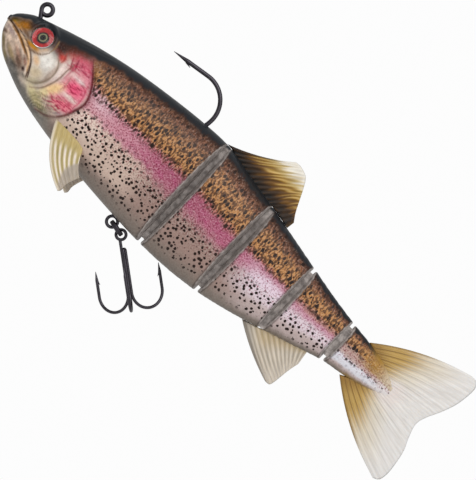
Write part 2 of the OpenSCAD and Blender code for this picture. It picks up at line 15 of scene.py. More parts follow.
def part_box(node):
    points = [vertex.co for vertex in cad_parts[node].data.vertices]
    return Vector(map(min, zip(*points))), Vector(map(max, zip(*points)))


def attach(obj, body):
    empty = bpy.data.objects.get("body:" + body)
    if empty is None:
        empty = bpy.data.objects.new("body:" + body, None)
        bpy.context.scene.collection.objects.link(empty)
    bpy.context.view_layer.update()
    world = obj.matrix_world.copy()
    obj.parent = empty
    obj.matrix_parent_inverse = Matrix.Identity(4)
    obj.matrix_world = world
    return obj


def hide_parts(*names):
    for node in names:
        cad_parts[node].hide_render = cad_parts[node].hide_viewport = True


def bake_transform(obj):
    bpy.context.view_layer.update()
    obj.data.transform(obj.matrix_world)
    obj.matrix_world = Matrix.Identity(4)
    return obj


bl_info = {
    "name": "Jointed Soft Swimbait",
    "version": (1, 0, 0),
    "blender": (4, 5, 0),
    "location": "3D View > Sidebar > Swimbait",
    "description": "Skins, fins, joints, eyes and metalwork of a jointed soft swimbait",
    "category": "Object",
}

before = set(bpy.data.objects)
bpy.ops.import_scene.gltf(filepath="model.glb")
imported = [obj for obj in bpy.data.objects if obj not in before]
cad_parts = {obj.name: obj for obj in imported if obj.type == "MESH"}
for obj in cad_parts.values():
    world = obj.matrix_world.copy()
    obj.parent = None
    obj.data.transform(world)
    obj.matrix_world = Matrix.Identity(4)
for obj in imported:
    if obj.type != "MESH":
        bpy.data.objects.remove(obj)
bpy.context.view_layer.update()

MM = 0.001
SIDES = {"left": -1, "right": 1}


# ---------------------------------------------------------------- colours and shapes


def colour(code):
    """Turns an sRGB hex colour into the linear red, green and blue that Blender works in."""
    parts = np.array([int(code[i : i + 2], 16) for i in (1, 3, 5)]) / 255
    return tuple(np.where(parts <= 0.04045, parts / 12.92, ((parts + 0.055) / 1.055) ** 2.4))


# Body outline: place in percent of the length behind the line tie, back and belly height in
# percent of the body height, half width in percent of the body width.
STATIONS = np.array(
    [
        [-3.7, -21, -26, 6],
        [-3.2, -17.5, -33, 14],
        [-2.2, -13.5, -39.5, 21],
        [-0.6, -9, -46.5, 28],
        [2.2, -5, -53, 36],
        [6.1, 0.5, -60, 43],
        [11.1, 6.5, -66, 48],
        [17.8, 12.5, -71.5, 50],
        [25, 16.7, -75.5, 50],
        [32.2, 19.5, -78.5, 49],
        [38.1, 19.7, -80, 46.5],
        [44.4, 14.2, -79.7, 43.5],
        [50.6, 8.8, -77, 39],
        [56.7, 3, -71.5, 33],
        [62.8, -3, -64, 26.5],
        [68.3, -8.2, -57, 21],
        [73.9, -12.5, -49.5, 16],
        [78, -15, -46.5, 12],
        [82, -18.5, -43, 8],
        [86, -26, -37, 3],
    ]
)
BODY_LENGTH = 180.0
BODY_HEIGHT = 40.0
BODY_WIDTH = 21.0
# Shape of a cross section: 1 is an ellipse, and lower is squarer
FULLNESS = 0.86
# Height of the widest place, as a share of the way from the belly to the back
WIDEST = 0.55
# The four joints: place behind the line tie, and slant of the groove's faces in degrees
JOINTS = [(68.58, 10), (91.08, 10), (113.04, 11), (133.02, 15)]
WEB_HALF_LENGTH = 0.5
THREAD_PITCH = 0.8
NOSE_X = -6.66
# Where the body ends inside the tail fin
PEDUNCLE_X = 154.8
EYE_PLACE = (5.7, -6.9)
EYE_RADIUS = 3.45
SOCKET_DEPTH = 1.4
# Moulded rays on each fin
DORSAL_RAYS = 16
ANAL_RAYS = 12
CAUDAL_RAYS = 34
PECTORAL_RAYS = 6


def outline(x):
    """Back height, belly height and half width of the body at x behind the line tie."""
    place = np.asarray(x, float) / BODY_LENGTH * 100
    count = len(STATIONS)
    before = np.maximum(np.arange(count) - 1, 0)
    after = np.minimum(np.arange(count) + 1, count - 1)
    run = (STATIONS[after, 0] - STATIONS[before, 0])[:, None]
    slope = (STATIONS[after, 1:] - STATIONS[before, 1:]) / run
    i = np.clip(np.searchsorted(STATIONS[:, 0], place, side="right") - 1, 0, count - 2)
    h = STATIONS[i + 1, 0] - STATIONS[i, 0]
    t = np.clip((place - STATIONS[i, 0]) / h, 0, 1)[..., None]
    h = h[..., None]
    value = STATIONS[i, 1:] * (2 * t**3 - 3 * t**2 + 1) + STATIONS[i + 1, 1:] * (3 * t**2 - 2 * t**3)
    value = value + h * slope[i] * (t**3 - 2 * t**2 + t) + h * slope[i + 1] * (t**3 - t**2)
    value = value * (BODY_HEIGHT, BODY_HEIGHT, BODY_WIDTH) / 100
    return value[..., 0], value[..., 1], value[..., 2]


def rounded(angle, exponent):
    """Across and up on a rounded square of half width 1: a lower exponent has sharper corners."""
    across = np.cos(angle)
    up = np.sin(angle)
    return np.sign(across) * np.abs(across) ** exponent, np.sign(up) * np.abs(up) ** exponent


def ring_point(x, angle):
    """Across and up on the skin at x, at an angle round the body: 0 is the flank, 90 degrees the back."""
    back, belly, half = outline(x)
    middle = belly + WIDEST * (back - belly)
    across, up = rounded(angle, FULLNESS)
    reach = np.where(up > 0, back - middle, middle - belly)
    return half * across, middle + reach * up


def flank_y(x, z):
    """Half width of the skin at a place on the flank."""
    back, belly, half = outline(x)
    middle = belly + WIDEST * (back - belly)
    reach = np.where(z > middle, back - middle, middle - belly)
    share = np.clip(np.abs(z - middle) / reach, 0, 1)
    return half * (1 - share ** (2 / FULLNESS)) ** (FULLNESS / 2)


def from_eye(x, z):
    """Distance along the flank from an eye's centre."""
    return np.hypot(x - EYE_PLACE[0], z - EYE_PLACE[1])


def eye_place(side):
    """Centre of an eye on the skin, and the direction that it looks in."""
    x, z = EYE_PLACE
    d = 0.2
    lean = (flank_y(x - d, z) - flank_y(x + d, z)) / (2 * d)
    tilt = (flank_y(x, z - d) - flank_y(x, z + d)) / (2 * d)
    out = Vector((lean, side, tilt)).normalized()
    return Vector((x, side * flank_y(x, z), z)), out


def face_x(joint, way, y):
    """Place of a joint's face at a distance from the middle: way is -1 ahead of the joint, 1 behind it."""
    place, slant = JOINTS[joint]
    return place + way * (WEB_HALF_LENGTH + np.abs(y) * math.tan(math.radians(slant)))


def off_joint(joint, way, x, y):
    """Distance in mm that a place stands back from a joint's face."""
    return (x - face_x(joint, way, y)) * way


def meets_face(joint, way, angle, lip):
    """Place along the body where the skin at an angle turns into a joint's rounded lip."""
    x = np.full(angle.shape, JOINTS[joint][0], float)
    for _ in range(6):
        x = face_x(joint, way, ring_point(x, angle)[0]) + way * lip
    return x


def smooth_line(points, steps=8):
    """More points on a smooth curve through the given ones."""
    p = np.array(points, float)
    ends = np.vstack([2 * p[0] - p[1], p, 2 * p[-1] - p[-2]])
    out = []
    for i in range(1, len(ends) - 2):
        a, b, c, d = ends[i - 1], ends[i], ends[i + 1], ends[i + 2]
        for t in np.arange(steps) / steps:
            curve = 2 * a - 5 * b + 4 * c - d + t * (3 * b - a + d - 3 * c)
            out.append(b + 0.5 * t * (c - a + t * curve))
    out.append(p[-1])
    return np.array(out)


def along(points, share):
    """Points at a share, 0 to 1, of the way along a smooth curve."""
    line = smooth_line(points)
    reach = np.concatenate([[0], np.cumsum(np.linalg.norm(np.diff(line, axis=0), axis=1))])
    at = np.asarray(share) * reach[-1]
    return np.stack([np.interp(at, reach, line[:, k]) for k in range(line.shape[1])], -1)


def from_line(points, x, z):
    """Distance from a smooth line, positive on its left, and the share of the way along it."""
    line = smooth_line(points)
    best = np.full(x.shape, 1e9)
    signed = np.zeros(x.shape)
    share = np.zeros(x.shape)
    for k in range(len(line) - 1):
        a = line[k]
        run = line[k + 1] - a
        t = np.clip(((x - a[0]) * run[0] + (z - a[1]) * run[1]) / (run @ run), 0, 1)
        gap = np.hypot(x - a[0] - t * run[0], z - a[1] - t * run[1])
        side = np.where(run[0] * (z - a[1]) - run[1] * (x - a[0]) < 0, -1, 1)
        closer = gap < best
        best = np.where(closer, gap, best)
        signed = np.where(closer, gap * side, signed)
        share = np.where(closer, (k + t) / (len(line) - 1), share)
    return signed, share


def step(low, high, value):
    """Rises smoothly from 0 at low to 1 at high; it falls if low is above high."""
    t = np.clip((value - low) / (high - low), 0, 1)
    return t * t * (3 - 2 * t)


def hump(value, width):
    """1 at zero, fading to nothing about 1.5 widths away."""
    return np.exp(-((value / width) ** 2))


def ripple(a, b, seed=0.0):
    """Uneven wave of about -1 to 1, the same each run, to break up a regular pattern."""
    total = np.sin(a * 1.31 + b * 0.73 + seed) + np.sin(a * 0.57 - b * 1.49 + 2.1 * seed + 1.7)
    return (total + np.sin(a * 2.23 + b * 1.91 + 3.3 * seed + 0.6)) / 2.2


def mix(base, over, amount):
    """Lays one colour over another by an amount for each point."""
    amount = np.clip(amount, 0, 1)[:, None]
    return base * (1 - amount) + np.asarray(over) * amount


def banded(level, bands):
    """A colour for each level, blended between bands that each have a level and a colour."""
    levels = [at for at, _ in bands]
    return np.stack([np.interp(level, levels, [c[k] for _, c in bands]) for k in range(3)], -1)


def washed(base, washes):
    """Lays washes of paint over one another in order, each a hex colour and an amount for each point."""
    for code, amount in washes:
        base = mix(base, colour(code), amount)
    return base


# ---------------------------------------------------------------- meshes


def warped_grid(columns, rows, place, keep=()):
    """A grid of two shares, 0 to 1, set in space by the function place, with its seams closed.

    Each of keep is a name and a function of the two shares, whose value every corner keeps.
    """
    bm = bmesh.new()
    bmesh.ops.create_grid(bm, x_segments=columns, y_segments=rows, size=0.5)
    u, v = np.array([corner.co[:2] for corner in bm.verts]).T + 0.5
    layers = [(bm.verts.layers.float.new(name), value(u, v)) for name, value in keep]
    for i, (corner, co) in enumerate(zip(bm.verts, place(u, v) * MM)):
        corner.co = co
        for layer, values in layers:
            corner[layer] = values[i]
    bmesh.ops.remove_doubles(bm, verts=bm.verts, dist=0.002 * MM)
    bmesh.ops.dissolve_degenerate(bm, edges=bm.edges, dist=0.001 * MM)
    bmesh.ops.recalc_face_normals(bm, faces=bm.faces)
    return bm


def corners(bm):
    """The places of a bmesh's corners in mm, as three columns."""
    return np.array([v.co for v in bm.verts]) / MM


def push_out(bm, heights):
    """Moves each corner along its normal by its height in mm."""
    bm.normal_update()
    for v, height in zip(bm.verts, heights):
        v.co += v.normal * (float(height) * MM)


def finished(name, bm, material):
    """Makes a smooth-shaded object of a bmesh."""
    mesh = bpy.data.meshes.new(name)
    bm.to_mesh(mesh)
    bm.free()
    mesh.shade_smooth()
    mesh.materials.append(material)
    obj = bpy.data.objects.new(name, mesh)
    bpy.context.scene.collection.objects.link(obj)
    return obj


def store(obj, name, values):
    """Keeps three values for each corner of a mesh, for its material to read."""
    attribute = obj.data.attributes.new(name, "FLOAT_COLOR", "POINT")
    full = np.ones((len(obj.data.vertices), 4), np.float32)
    full[:, :3] = values
    attribute.data.foreach_set("color", full.ravel())


def places(obj):
    """The places of a mesh's corners in mm, as x, y and z."""
    co = np.array([v.co for v in obj.data.vertices]) / MM
    return co[:, 0], co[:, 1], co[:, 2]


# ---------------------------------------------------------------- materials


def add(tree, kind, inputs=None, out=0, **settings):
    """Adds one node with its settings, and gives one of its outputs, or all where out is None.

    Each input is a value, or the socket that feeds it.
    """
    node = tree.nodes.new("ShaderNode" + kind)
    for key, value in settings.items():
        setattr(node, key, value)
    for key, value in (inputs or {}).items():
        if isinstance(value, bpy.types.NodeSocket):
            tree.links.new(value, node.inputs[key])
        else:
            node.inputs[key].default_value = value
    return node.outputs if out is None else node.outputs[out]


def new_finish(name, **values):
    """A material with its shader's own sockets set."""
    material = bpy.data.materials.new(name)
    material.use_nodes = True
    shader = material.node_tree.nodes["Principled BSDF"]
    for key, value in values.items():
        shader.inputs[key.replace("_", " ")].default_value = value
    return material, material.node_tree, shader


def feed(tree, shader, **sockets):
    """Links each socket to the shader's input of that name."""
    for key, socket in sockets.items():
        tree.links.new(socket, shader.inputs[key.replace("_", " ")])


def full(rgb):
    """A colour with its fourth value."""
    return (*rgb, 1.0)


def painted_plastic(paint):
    """Plastisol, poured, airbrushed and dipped in clear: soft gloss over speckled paint."""
    material, tree, shader = new_finish(
        "painted_plastisol", Roughness=0.36, IOR=1.47, Subsurface_Weight=0.05, Subsurface_Scale=0.0008,
        Subsurface_Radius=(1.0, 0.8, 0.7), Specular_IOR_Level=0.22, Coat_Weight=0.12, Coat_Roughness=0.2,
    )
    where = add(tree, "TexCoord", out="Object")
    axes = add(tree, "SeparateXYZ", {0: where}, None)
    flat = add(tree, "CombineXYZ", {0: axes[0], 1: axes[2]})
    base = add(tree, "Attribute", out="Color", attribute_name="paint")
    marks = add(tree, "Attribute", out="Color", attribute_name="marks")
    back_marks, flank_dots, speckle = add(tree, "SeparateColor", {0: marks}, None)
    extras = add(tree, "Attribute", out="Color", attribute_name="extras")
    gill_streaks, bare_share, sponging = add(tree, "SeparateColor", {0: extras}, None)
    # Wobble so that no spot or streak is a perfect shape
    wobble = add(tree, "TexNoise", {"Vector": flat, "Scale": 1 / (1.4 * MM), "Detail": 2.0}, "Color")
    shift = add(tree, "VectorMath", {0: wobble, 1: (0.5, 0.5, 0.5)}, operation="SUBTRACT")
    shift = add(tree, "VectorMath", {0: shift, "Scale": 0.7 * MM}, operation="SCALE")
    bent = add(tree, "VectorMath", {0: flat, 1: shift}, operation="ADD")
    # Scales of about 0.5 mm catch the airbrush as light and dark specks
    scales = add(tree, "TexNoise", {"Vector": bent, "Scale": 1 / (0.5 * MM), "Detail": 2.0, "Roughness": 0.6})
    tone = add(tree, "MapRange", {0: scales, 1: 0.3, 2: 0.7, 3: -1.0, 4: 1.0})
    tone = add(tree, "Math", {0: tone, 1: speckle}, operation="MULTIPLY")
    lighter = add(tree, "Math", {0: tone, 1: 0.34}, operation="MULTIPLY", use_clamp=True)
    darker = add(tree, "Math", {0: tone, 1: -1.1}, operation="MULTIPLY", use_clamp=True)
    light_paint = add(tree, "Mix", {0: 0.75, 6: base, 7: full(colour("#F4E6E4"))}, 2, data_type="RGBA")
    dark_paint = add(
        tree, "Mix", {0: 1.0, 6: base, 7: full(colour("#A4566A"))}, 2, data_type="RGBA", blend_type="MULTIPLY"
    )
    # Fine lines 0.6 mm apart: upright strokes over the back's brown, and level streaks on the gill covers
    fine_lines = []
    for stretch, detail, low, high, most, share in (
        ((1.0, 0.42, 1.0), 1.0, 0.44, 0.56, 0.85, back_marks),
        ((0.3, 1.0, 1.0), 2.0, 0.47, 0.6, 0.95, gill_streaks),
    ):
        drawn = add(tree, "Mapping", {"Vector": bent, "Scale": stretch})
        lines = add(tree, "TexNoise", {"Vector": drawn, "Scale": 1 / (0.62 * MM), "Detail": detail})
        lines = add(tree, "MapRange", {0: lines, 1: low, 2: high, 3: 0.0, 4: most})
        fine_lines.append(add(tree, "Math", {0: lines, 1: share}, operation="MULTIPLY"))
    strokes, streaks = fine_lines
    # Upright oval spots on the back, about 0.6 by 1 mm on 1.3 mm centres
    oval = add(tree, "Mapping", {"Vector": bent, "Scale": (1.0, 0.62, 1.0)})
    spots = add(tree, "TexVoronoi", {"Vector": oval, "Scale": 1 / (1.3 * MM)}, None, voronoi_dimensions="2D")
    luck = add(tree, "SeparateColor", {0: spots["Color"]})
    size = add(tree, "MapRange", {0: luck, 1: 0.1, 2: 1.0, 3: 0.06, 4: 0.4})
    size = add(tree, "Math", {0: size, 1: back_marks}, operation="MULTIPLY")
    spot = add(tree, "Math", {0: size, 1: spots["Distance"]}, operation="SUBTRACT")
    spot = add(tree, "MapRange", {0: spot, 1: -0.05, 2: 0.05})
    spot = add(tree, "Math", {0: spot, 1: back_marks}, operation="MULTIPLY", use_clamp=True)
    # Round dots on the flank, about 0.7 mm across on 1.4 mm centres
    dots = add(tree, "TexVoronoi", {"Vector": bent, "Scale": 1 / (1.4 * MM)}, None, voronoi_dimensions="2D")
    luck = add(tree, "SeparateColor", {0: dots["Color"]}, 1)
    size = add(tree, "MapRange", {0: luck, 1: 0.0, 2: 0.6, 3: 0.03, 4: 0.325})
    dot = add(tree, "Math", {0: size, 1: dots["Distance"]}, operation="SUBTRACT")
    dot = add(tree, "MapRange", {0: dot, 1: -0.03, 2: 0.04})
    dot = add(tree, "Math", {0: dot, 1: flank_dots}, operation="MULTIPLY", use_clamp=True)
    dark_marks = add(tree, "Math", {0: spot, 1: dot}, operation="MAXIMUM")
    skin = base
    for amount, over in (
        (lighter, light_paint),
        (darker, dark_paint),
        (strokes, full(colour("#3A1D10"))),
        (dark_marks, full(paint.spots)),
        (streaks, full(paint.gill_streaks)),
    ):
        skin = add(tree, "Mix", {0: amount, 6: skin, 7: over}, 2, data_type="RGBA")
    # Paint sponged on the head, in patches of about 1.6 mm
    mottle = add(tree, "TexNoise", {"Vector": where, "Scale": 1 / (1.6 * MM), "Detail": 4.0})
    sponged = add(tree, "MapRange", {0: mottle, 1: 0.34, 2: 0.66, 3: 0.5, 4: 1.28})
    patches = add(tree, "VectorMath", {0: skin, "Scale": sponged}, operation="SCALE")
    skin = add(tree, "Mix", {0: sponging, 6: skin, 7: patches}, 2, data_type="RGBA")
    # Bare grey plastic in the joints, mottled
    grey = add(tree, "MapRange", {0: mottle, 1: 0.35, 2: 0.65, 3: 0.0, 4: 1.0})
    greys = {0: grey, 6: full(paint.bare_plastic), 7: full(colour("#857D79"))}
    bare = add(tree, "Mix", greys, 2, data_type="RGBA")
    skin = add(tree, "Mix", {0: bare_share, 6: skin, 7: bare}, 2, data_type="RGBA")
    dull = add(tree, "MapRange", {0: mottle, 1: 0.3, 2: 0.7, 3: 0.28, 4: 0.46})
    relief = add(tree, "Bump", {"Height": scales, "Strength": 0.35, "Distance": 0.06 * MM})
    relief = add(tree, "Bump", {"Height": streaks, "Normal": relief, "Strength": 0.5, "Distance": 0.12 * MM})
    feed(tree, shader, Base_Color=skin, Roughness=dull, Normal=relief)
    return material


def woven_mesh():
    """Polyester mesh, woven from 0.25 mm threads 0.8 mm apart: a soft dark grid."""
    material, tree, shader = new_finish("woven_polyester", Roughness=0.7, IOR=1.5, Sheen_Weight=0.2)
    where = add(tree, "TexCoord", out="Object")
    # Wave Texture repeats every 2 pi over 20 of its units at scale 1
    pitch = math.pi * 2 / (20 * THREAD_PITCH * MM)
    warp = add(tree, "TexWave", {"Vector": where, "Scale": pitch}, 1, bands_direction="X")
    weft = add(tree, "TexWave", {"Vector": where, "Scale": pitch}, 1, bands_direction="Z")
    thread = add(tree, "Math", {0: warp, 1: weft}, operation="MAXIMUM")
    tones = {0: thread, 6: full(colour("#17181A")), 7: full(colour("#6B6E72"))}
    tone = add(tree, "Mix", tones, 2, data_type="RGBA")
    relief = add(tree, "Bump", {"Height": thread, "Strength": 0.8, "Distance": 0.15 * MM})
    feed(tree, shader, Base_Color=tone, Normal=relief)
    return material


def fin_plastic(name, grain, clearness, rough):
    """Plastisol, moulded thin and airbrushed: its rays show as fine lines, and light comes through."""
    material, tree, shader = new_finish(
        name, IOR=1.47, Subsurface_Weight=0.15 + clearness, Subsurface_Scale=0.0012,
        Subsurface_Radius=(1.0, 0.9, 0.8), Specular_IOR_Level=0.25, Coat_Weight=0.08, Coat_Roughness=0.3,
    )
    base = add(tree, "Attribute", out="Color", attribute_name="paint")
    rays = add(tree, "Attribute", out="Vector", attribute_name="rays")
    # Rays are told apart by their share of the fin, 0 to 1, and each runs the fin's whole length
    drawn = add(tree, "Mapping", {"Vector": rays, "Scale": (grain, 3.0, 0.0)})
    lines = add(tree, "TexNoise", {"Vector": drawn, "Scale": 1.0, "Detail": 3.0, "Roughness": 0.6})
    # The clearer the plastic, the fainter its lines
    dark = 0.76 + 0.75 * clearness
    tone = add(tree, "MapRange", {0: lines, 1: 0.3, 2: 0.7, 3: dark, 4: 1.12})
    tinted = add(tree, "VectorMath", {0: base, "Scale": tone}, operation="SCALE")
    dull = add(tree, "MapRange", {0: lines, 1: 0.3, 2: 0.7, 3: rough, 4: rough + 0.14})
    relief = add(tree, "Bump", {"Height": lines, "Strength": 0.45, "Distance": 0.12 * MM})
    feed(tree, shader, Base_Color=tinted, Roughness=dull, Normal=relief)
    return material


def black_nickel(paint):
    """Black nickel, electroplated on hook wire: dark, mirror-like and faintly warm, with a fine grain."""
    material, tree, shader = new_finish("black_nickel_plate", Metallic=1.0)
    where = add(tree, "TexCoord", out="Object")
    cloud = add(tree, "TexNoise", {"Vector": where, "Scale": 1 / (3.0 * MM), "Detail": 5.0})
    tones = {0: cloud, 6: full(paint.black_nickel), 7: full(colour("#57535A"))}
    tone = add(tree, "Mix", tones, 2, data_type="RGBA")
    # Plating grain of about 0.2 mm, coarser than the real one so that it shows
    grain = add(tree, "TexNoise", {"Vector": where, "Scale": 1 / (0.2 * MM), "Detail": 2.0})
    dull = add(tree, "MapRange", {0: cloud, 1: 0.3, 2: 0.7, 3: 0.2, 4: 0.38})
    relief = add(tree, "Bump", {"Height": grain, "Strength": 0.2, "Distance": 0.02 * MM})
    feed(tree, shader, Base_Color=tone, Roughness=dull, Normal=relief)
    return material


def cast_lead():
    """Lead, cast in an open mould: dull blue-grey with soft pits and brighter rubbed spots."""
    material, tree, shader = new_finish("cast_lead", Metallic=1.0)
    where = add(tree, "TexCoord", out="Object")
    pits = add(tree, "TexNoise", {"Vector": where, "Scale": 1 / (1.2 * MM), "Detail": 5.0})
    tones = {0: pits, 6: full(colour("#63676D")), 7: full(colour("#9A9DA3"))}
    tone = add(tree, "Mix", tones, 2, data_type="RGBA")
    dull = add(tree, "MapRange", {0: pits, 1: 0.3, 2: 0.7, 3: 0.62, 4: 0.45})
    relief = add(tree, "Bump", {"Height": pits, "Strength": 0.6, "Distance": 0.15 * MM})
    feed(tree, shader, Base_Color=tone, Roughness=dull, Normal=relief)
    return material


def eye_resin():
    """Clear epoxy, poured in a dome: a hard wet shine, clear to the foil under it."""
    return new_finish(
        "clear_epoxy", Base_Color=full(colour("#FDFBF8")), Roughness=0.03, IOR=1.5, Transmission_Weight=1.0
    )[0]


# Rings of the printed eye from its centre out, one of them partly a painted glint: share of the radius, and
# colour
EYE_RINGS = [
    (0.0, "#030304"),
    (0.27, "#060506"),
    # A pale olive ring round the pupil: partly the foil's print, partly a painted glint
    (0.31, "#6E7452"),
    (0.4, "#C6C796"),
    (0.45, "#0E0606"),
    (0.54, "#150304"),
    (0.6, "#D0000E"),
    (0.86, "#F00820"),
    (0.97, "#E62A3C"),
    (1.0, "#C8641E"),
]


def printed_foil(name, side):
    """Printed holographic foil: a red ring with fine bright spokes round a plain black pupil."""
    material, tree, shader = new_finish(
        f"printed_foil_{name}", Metallic=0.1, Roughness=0.5, Specular_IOR_Level=0.15
    )
    centre, out = eye_place(side)
    where = add(tree, "TexCoord", out="Object")
    offset = add(tree, "VectorMath", {0: where, 1: centre * MM}, operation="SUBTRACT")
    across = add(tree, "VectorMath", {0: offset, 1: out}, operation="CROSS_PRODUCT")
    reach = add(tree, "VectorMath", {0: across}, "Value", operation="LENGTH")
    share = add(tree, "Math", {0: reach, 1: EYE_RADIUS * MM}, operation="DIVIDE")
    # The spokes: noise that depends on direction only
    heading = add(tree, "VectorMath", {0: across}, operation="NORMALIZE")
    spokes = add(tree, "TexNoise", {"Vector": heading, "Scale": 9.0, "Detail": 3.0})
    wear_and_shade = add(tree, "Math", {0: spokes, 1: 0.08}, operation="MULTIPLY")
    share = add(tree, "Math", {0: share, 1: wear_and_shade}, operation="ADD")
    rings = add(tree, "ValToRGB", {0: share})
    ramp = rings.node.color_ramp.elements
    while len(ramp) < len(EYE_RINGS):
        ramp.new(0.5)
    for element, (at, code) in zip(ramp, EYE_RINGS):
        element.position = at
        element.color = full(colour(code))
    tone = add(tree, "MapRange", {0: spokes, 1: 0.3, 2: 0.7, 3: 0.85, 4: 1.2})
    lit = add(tree, "VectorMath", {0: rings, "Scale": tone}, operation="SCALE")
    feed(tree, shader, Base_Color=lit)
    return material


# ---------------------------------------------------------------- the head's sculpture


# Each crease is a line of places (x, z) on the flank of the head
MOUTH = [
    (-6.4, -9.8), (-4, -10.15), (-1, -10.9), (1.5, -11.9), (4.2, -13.2), (6.5, -14.4), (8.4, -16),
    (9.6, -17.8), (10.2, -19.2),
]
UPPER_JAW = [(-1.2, -9.9), (2, -10.8), (4.6, -12), (6.6, -13.2), (8.4, -14.9), (9.7, -17), (10.7, -19)]
CHEEK = [(14.2, -8.6), (15.7, -11), (16.1, -13.4), (15.5, -16), (13.6, -18.4), (11, -19.7)]
BRIDLE = [(18.6, -6.6), (18.2, -9.5), (18.1, -12.5), (17.3, -15.5), (15.8, -18.4), (13, -20.6)]
GILL_EDGE = [
    (21.6, -1.4), (24.5, -4.6), (26.6, -7), (28.4, -10), (29.15, -13), (28.4, -16), (27.2, -19),
    (25.4, -21.4), (22.4, -23.4), (18.5, -24.2),
]
GILL_FRONT = 14.0
# Folds under the gill cover: distance from one to the next
FOLD_PITCH = 1.05


def fold_turn(edge, x):
    """Turn of the wave that makes the folds, at a distance from the gill cover's edge."""
    return 2 * math.pi * (edge + 0.06 * x) / FOLD_PITCH


def head_relief(x, z):
    """Height in mm that the modelling of the head stands out from its plain skin."""
    slit, run = from_line(MOUTH, x, z)
    fade = step(0, 0.06, run) * step(1.0, 0.93, run)
    height = -0.62 * hump(slit, 0.3) * np.maximum(fade, 0.5)
    height += 0.3 * hump(slit - 0.85, 0.6) * fade + 0.34 * hump(slit + 0.85, 0.6) * fade
    jaw, run = from_line(UPPER_JAW, x, z)
    ends = step(0, 0.15, run) * step(1.0, 0.95, run)
    height += (-0.42 * hump(jaw, 0.28) + 0.22 * hump(jaw + 0.75, 0.55)) * ends
    cheek, run = from_line(CHEEK, x, z)
    ends = step(0, 0.12, run) * step(1.0, 0.9, run)
    height += (-0.4 * hump(cheek, 0.4) + 0.28 * hump(cheek + 0.9, 0.6)) * ends
    bridle, run = from_line(BRIDLE, x, z)
    ends = step(0, 0.12, run) * step(1.0, 0.85, run)
    height += (-0.38 * hump(bridle, 0.35) - 0.22 * hump(bridle + 1.1, 0.3)) * ends
    height += 0.2 * hump(bridle - 0.8, 0.6) * ends
    edge, run = from_line(GILL_EDGE, x, z)
    inside = step(-0.12, 0.3, -edge)
    plate = step(GILL_FRONT, 26, x) * step(0, 0.12, run) * step(1.0, 0.8, run)
    height += 1.0 * inside * plate * np.exp(-np.maximum(-edge, 0) / 9)
    height += (-0.3 * hump(edge - 0.25, 0.5) - 0.28 * hump(edge + 1.35, 0.28)) * plate
    folds = step(-18.6, -20, z) * step(-25.2, -23.2, z) * step(13.5, 17, x) * step(24.5, 22, x)
    height += 0.3 * folds * np.sin(fold_turn(edge, x))
    # Uneven scales behind the eye and on the gill cover
    height += 0.05 * ripple(x * 3.1, z * 3.7, 2.0) * step(13, 17, x) * step(30, 27, x)
    reach = from_eye(x, z)
    height += 0.42 * hump(reach - 4.15, 0.75) + 0.16 * hump(reach - 5.3, 0.4) * step(-6.5, -8.5, z)
    brow = from_line([(1.6, -4.6), (5.2, -2.7), (9.4, -4.1)], x, z)[0]
    height += 0.3 * hump(brow, 0.8) * step(0, 3, x) * step(11, 9, x)
    return height


